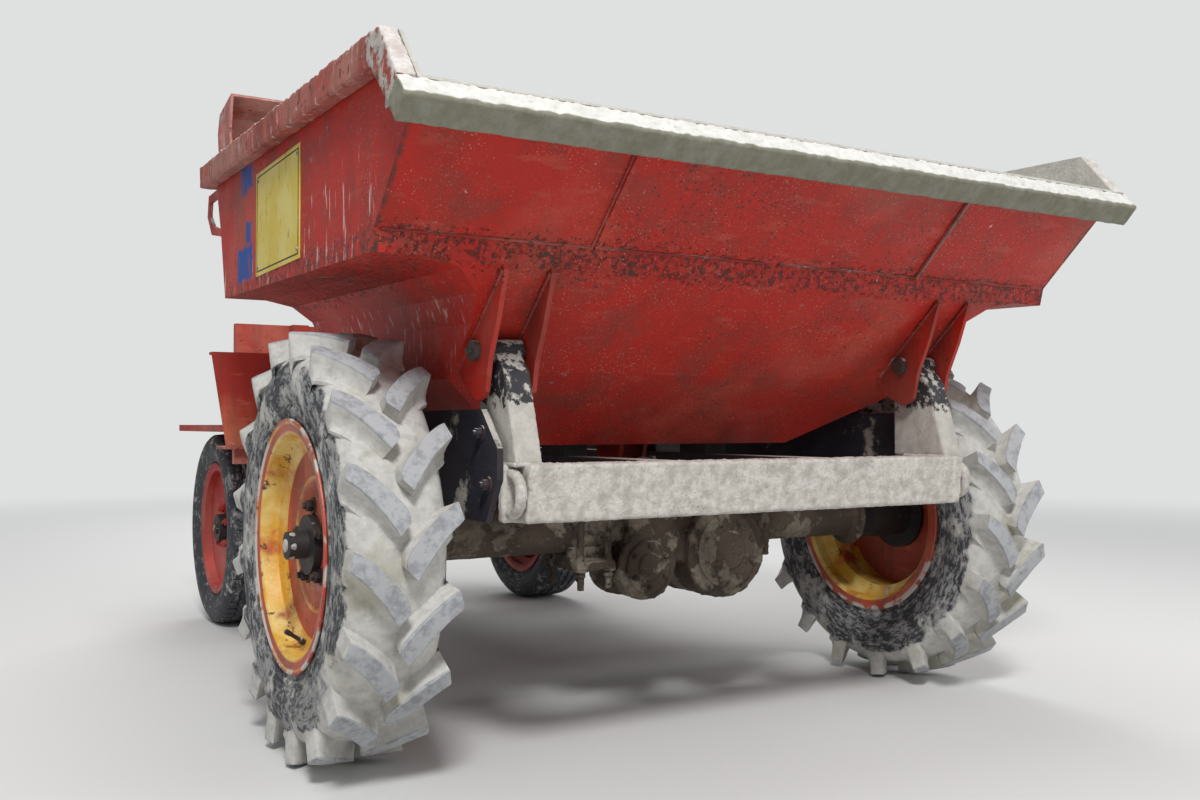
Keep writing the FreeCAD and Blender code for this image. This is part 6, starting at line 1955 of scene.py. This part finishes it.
@dataclass
class HandWheel(Assembly):
    """The steering wheel: a grip with finger hollows, flat spokes and a domed boss."""

    ring: float = 0.190
    bar: float = 0.0128
    rise: float = 0.040
    hollows: int = 36

    def build(self) -> None:
        """Build the wheel square to its column and set it on the joint's axis."""
        joint = JOINTS["hand_wheel_turn"]
        way = Vector(joint["axis"]).normalized()
        turn = Matrix.Translation(pivot("hand_wheel_turn")) @ frame_along(way)
        grip = bmesh.new()
        count = self.hollows * 6
        path = [turn @ Vector((self.ring * math.cos(a), self.ring * math.sin(a), self.rise))
                for a in (2 * math.pi * k / count for k in range(count))]
        tube_form(grip, path, lambda share: self.bar * (
            0.94 + 0.06 * math.cos(2 * math.pi * self.hollows * share)), 14, True)
        ring = self.maker.piece("wheel_grip", grip, "hand_wheel", "grip_black", Slot.GRIP, 80.0)
        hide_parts("steering_wheel")
        spokes = bmesh.new()
        for k in range(3):
            angle = math.radians(30 + 120 * k)
            out = Vector((math.cos(angle), math.sin(angle), 0))
            rail = [turn @ (out * r + Vector((0, 0, z))) for r, z in (
                (0.022, 0.026), (0.070, 0.026), (0.130, 0.030), (0.184, 0.038))]
            tube_form(spokes, rail, lambda share: 0.0075 - 0.0015 * share, 12)
        boss = turn @ Vector((0, 0, 0.0005))
        turned_form(spokes, boss, way, ((0.0, 0.030), (0.006, 0.033), (0.030, 0.033),
                                        (0.037, 0.030), (0.0395, 0.020), (0.040, 0.006)), 36)
        self.maker.piece("wheel_spokes", spokes, "hand_wheel", "hub_black", Slot.BLACK)


@dataclass
class DriversPlace(Assembly):
    """Seat, steering column, pedals, levers, toe board and floor."""

    body: str = "chassis"

    def build(self) -> None:
        """Dress the nodes and add the trim round the driver."""
        self.maker.dress("chequer_plate", ["footboard"])
        self.maker.dress("toe_board_red", ["toe_board"])
        self.maker.dress("deck_red", ["seat_frame", "rear_fenders", "rear_guard"])
        self.maker.dress("ballast_red", ["ballast_plate"])
        self.maker.dress("chassis_black", ["steering_column", "tow_jaw"])
        self.maker.dress("worn_steel", ["controls"])
        SeatPad(self.maker, "seat_pad", "seat_cushion", (0.34, 0.66), False).build()
        SeatPad(self.maker, "back_pad", "seat_back", (0.36, 0.66), True).build()
        HandWheel(self.maker).build()
        self.knobs()
        self.panel()
        self.rear_bolts()

    def knobs(self) -> None:
        """Round knobs and rubber boots on the levers, and ribbed rubbers on the pedals."""
        _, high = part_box("controls")
        y = -0.747 + 1.225
        up = Vector((0, 0, 1))
        form = bmesh.new()
        for x, top in ((-0.190, high.z), (-0.240, high.z - 0.080)):
            ball = [(-0.024 * math.cos(math.pi * k / 12), 0.024 * math.sin(math.pi * k / 12))
                    for k in range(1, 12)]
            turned_form(form, Vector((x, y, top - 0.020)), up, ball, 28)
            folds = []
            for k in range(6):
                folds += [(0.010 * k, 0.030 - 0.003 * k), (0.010 * k + 0.005, 0.024 - 0.003 * k)]
            turned_form(form, Vector((x, y, 0.606)), up, folds, 28)
        self.maker.piece("lever_knobs", form, self.body, "grip_black", Slot.GRIP)
        treads = bmesh.new()
        for x in (0.170, 0.260, -0.330):
            for k in range(5):
                z = 0.672 + 0.011 * k
                box_form(treads, (x - 0.030, y + 0.0195, z), (x + 0.030, y + 0.0235, z + 0.006))
        self.maker.piece("pedal_rubbers", treads, self.body, "rest_rubber_worn", Slot.RUBBER,
                         bevel=0.0008)

    def panel(self) -> None:
        """A small panel on the column's pedestal with a gauge and a key switch."""
        low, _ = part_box("steering_column")
        front = low.y
        top = 0.800
        form = bmesh.new()
        box_form(form, (-0.075, front + 0.006, top - 0.002), (0.020, front + 0.086, top + 0.060),
                 0.006)
        self.maker.piece("gauge_box", form, self.body, "tank_black", Slot.BLACK, bevel=0.004)
        dial = bmesh.new()
        aft = Vector((0, 1, 0.12)).normalized()
        turned_form(dial, Vector((-0.045, front + 0.078, top + 0.030)), aft,
                    ((0.0, 0.021), (0.006, 0.021), (0.0075, 0.018), (0.0060, 0.017)), 36)
        self.maker.piece("gauge_dial", dial, self.body, "gauge_face", Slot.BLACK)
        key = bmesh.new()
        turned_form(key, Vector((-0.005, front + 0.079, top + 0.030)), aft,
                    ((0.0, 0.011), (0.004, 0.011), (0.005, 0.009), (0.008, 0.009)), 24)
        self.maker.piece("key_switch", key, self.body, "worn_steel", Slot.STEEL)

    def rear_bolts(self) -> None:
        """Bolts through the ballast plate and the guard's bar."""
        aft = Vector((0, 1, 0))
        form = bmesh.new()
        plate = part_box("ballast_plate")[1].y
        for side in Side:
            for z in (0.290, 0.545):
                bolt_form(form, Vector((side.value * 0.210, plate, z)), aft, 0.034)
            for z in (0.955, 1.015):
                bolt_form(form, Vector((side.value * 0.270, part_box("rear_guard")[1].y, z)), aft,
                          0.022)
        self.maker.piece("rear_bolts", form, self.body, "worn_steel", Slot.STEEL, bevel=0.0005)


@dataclass
class RearAxle(Assembly):
    """The steered rear axle: beam, knuckles and track rod."""

    def build(self) -> None:
        """Dress the nodes and add kingpin caps."""
        self.maker.dress("axle_crust", ["rear_axle"])
        self.maker.dress("cast_grey", ["knuckle_left", "knuckle_right"])
        self.maker.dress("chassis_black", ["tie_rod"])
        form = bmesh.new()
        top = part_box("rear_axle")[1].z
        for side in Side:
            spot = pivot("steer_" + side.tag)
            turned_form(form, Vector((spot.x, spot.y, top)), Vector((0, 0, 1)),
                        ((0.0, 0.020), (0.005, 0.020), (0.008, 0.016), (0.010, 0.005)), 24)
        self.maker.piece("kingpin_caps", form, "chassis", "worn_steel", Slot.STEEL)


@dataclass
class Studio:
    """Floor, soft lamps and the camera at the photograph's place."""

    camera_spot: Spot = (-1.4951, -3.0156, 0.6712)
    camera_yaw: float = 30.74
    camera_pitch: float = 1.24
    lens: float = 34.01
    floor_half: float = 60.0
    backdrop: Rgb = (0.74, 0.75, 0.75)
    # name, place, aim, size, power
    lamps: tuple[tuple[str, Spot, Spot, float, float], ...] = (
        ("key_lamp", (-2.4, -5.0, 5.4), (0.0, -0.5, 0.6), 1.3, 350.0),
        ("fill_lamp", (4.6, -3.6, 2.6), (0.0, -0.3, 0.6), 3.5, 75.0),
        ("top_lamp", (0.0, 0.4, 5.6), (0.0, 0.0, 0.8), 4.0, 110.0),
        ("rear_lamp", (2.0, 5.4, 3.4), (0.0, 0.6, 0.7), 3.0, 130.0),
    )

    def build(self) -> None:
        """Make the floor, the world, the lamps and the camera."""
        self.floor()
        self.world()
        for name, spot, aim, size, power in self.lamps:
            self.lamp(name, Vector(spot), Vector(aim), size, power)
        self.camera()
        bpy.context.scene.view_settings.view_transform = "Standard"

    def floor(self) -> None:
        """A plain pale floor, which is no part of the machine."""
        form = bmesh.new()
        half = self.floor_half
        corners = [form.verts.new((x, y, 0.0)) for x, y in ((-half, -half), (half, -half),
                                                           (half, half), (-half, half))]
        form.faces.new(corners)
        mesh = bpy.data.meshes.new("studio_floor")
        form.to_mesh(mesh)
        form.free()
        floor = bpy.data.objects.new("studio_floor", mesh)
        bpy.context.scene.collection.objects.link(floor)
        mesh.materials.append(self.floor_pale())

    def floor_pale(self) -> bpy.types.Material:
        """Pale floor that takes shadows near the machine and melts into the background far off.

        Returns:
            The material.
        """
        shader = Shader("floor_pale")
        floor = shader.close((0.66, 0.66, 0.65), 0.9)
        x, y = shader.along(Axis.X), shader.along(Axis.Y)
        away = shader.sums("SQRT", shader.plus(shader.times(x, x),
                                               shader.times(y, y)))
        rays = shader.nodes.new("ShaderNodeLightPath")
        far = shader.times(shader.remap(away, 2.6, 9.0),
                           rays.outputs["Is Camera Ray"])
        glow = shader.nodes.new("ShaderNodeEmission")
        glow.inputs["Color"].default_value = (*self.backdrop, 1.0)
        mix = shader.nodes.new("ShaderNodeMixShader")
        shader.wire(far, mix.inputs[0])
        shader.links.new(shader.skin.outputs[0], mix.inputs[1])
        shader.links.new(glow.outputs[0], mix.inputs[2])
        shader.links.new(mix.outputs[0], shader.nodes["Material Output"].inputs["Surface"])
        return floor

    def world(self) -> None:
        """Soft light from all round, and a pale background behind the machine."""
        world = bpy.data.worlds.new("soft_room")
        world.use_nodes = True
        nodes, links = world.node_tree.nodes, world.node_tree.links
        nodes.clear()
        rays = nodes.new("ShaderNodeLightPath")
        seen = nodes.new("ShaderNodeMath")
        seen.operation = "MAXIMUM"
        links.new(rays.outputs["Is Camera Ray"], seen.inputs[0])
        links.new(rays.outputs["Is Transmission Ray"], seen.inputs[1])
        light = nodes.new("ShaderNodeBackground")
        light.inputs[0].default_value = (0.96, 0.98, 1.0, 1.0)
        light.inputs[1].default_value = 0.36
        back = nodes.new("ShaderNodeBackground")
        back.inputs[0].default_value = (*self.backdrop, 1.0)
        back.inputs[1].default_value = 1.0
        mix = nodes.new("ShaderNodeMixShader")
        out = nodes.new("ShaderNodeOutputWorld")
        links.new(seen.outputs[0], mix.inputs[0])
        links.new(light.outputs[0], mix.inputs[1])
        links.new(back.outputs[0], mix.inputs[2])
        links.new(mix.outputs[0], out.inputs[0])
        bpy.context.scene.world = world

    def lamp(self, name: str, spot: Vector, aim: Vector, size: float, power: float) -> None:
        """One square area lamp.

        Args:
            name: its name.
            spot: its place.
            aim: what it points at.
            size: the length of its sides.
            power: its power in watts.
        """
        light = bpy.data.lights.new(name, "AREA")
        light.shape = "SQUARE"
        light.size = size
        light.energy = power
        lamp = bpy.data.objects.new(name, light)
        lamp.location = spot
        lamp.rotation_euler = (aim - spot).to_track_quat("-Z", "Y").to_euler()
        bpy.context.scene.collection.objects.link(lamp)

    def camera(self) -> None:
        """The camera where the photograph was taken from."""
        lens = bpy.data.cameras.new("photo_camera")
        lens.lens = self.lens
        lens.sensor_width = 36.0
        lens.clip_end = 200.0
        camera = bpy.data.objects.new("photo_camera", lens)
        camera.location = self.camera_spot
        camera.rotation_euler = (math.radians(90 + self.camera_pitch), 0.0,
                                 -math.radians(self.camera_yaw))
        bpy.context.scene.collection.objects.link(camera)
        bpy.context.scene.camera = camera


def main() -> None:
    """Build every sub-assembly in order."""
    logging.basicConfig(level=logging.INFO, format="%(name)s: %(message)s")
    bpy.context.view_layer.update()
    maker = Maker(Palette())
    for side in Side:
        LuggedTyre(maker, side).build()
        RoadTyre(maker, side).build()
        WheelTrim(maker, side, True).build()
        WheelTrim(maker, side, False).build()
    for assembly in (Skip, Chassis, Ram, RearAxle, Engine, DriversPlace):
        assembly(maker).build()
    Studio().build()
    LOG.info("%d pieces added", maker.made)


if __name__ == "__main__":
    main()
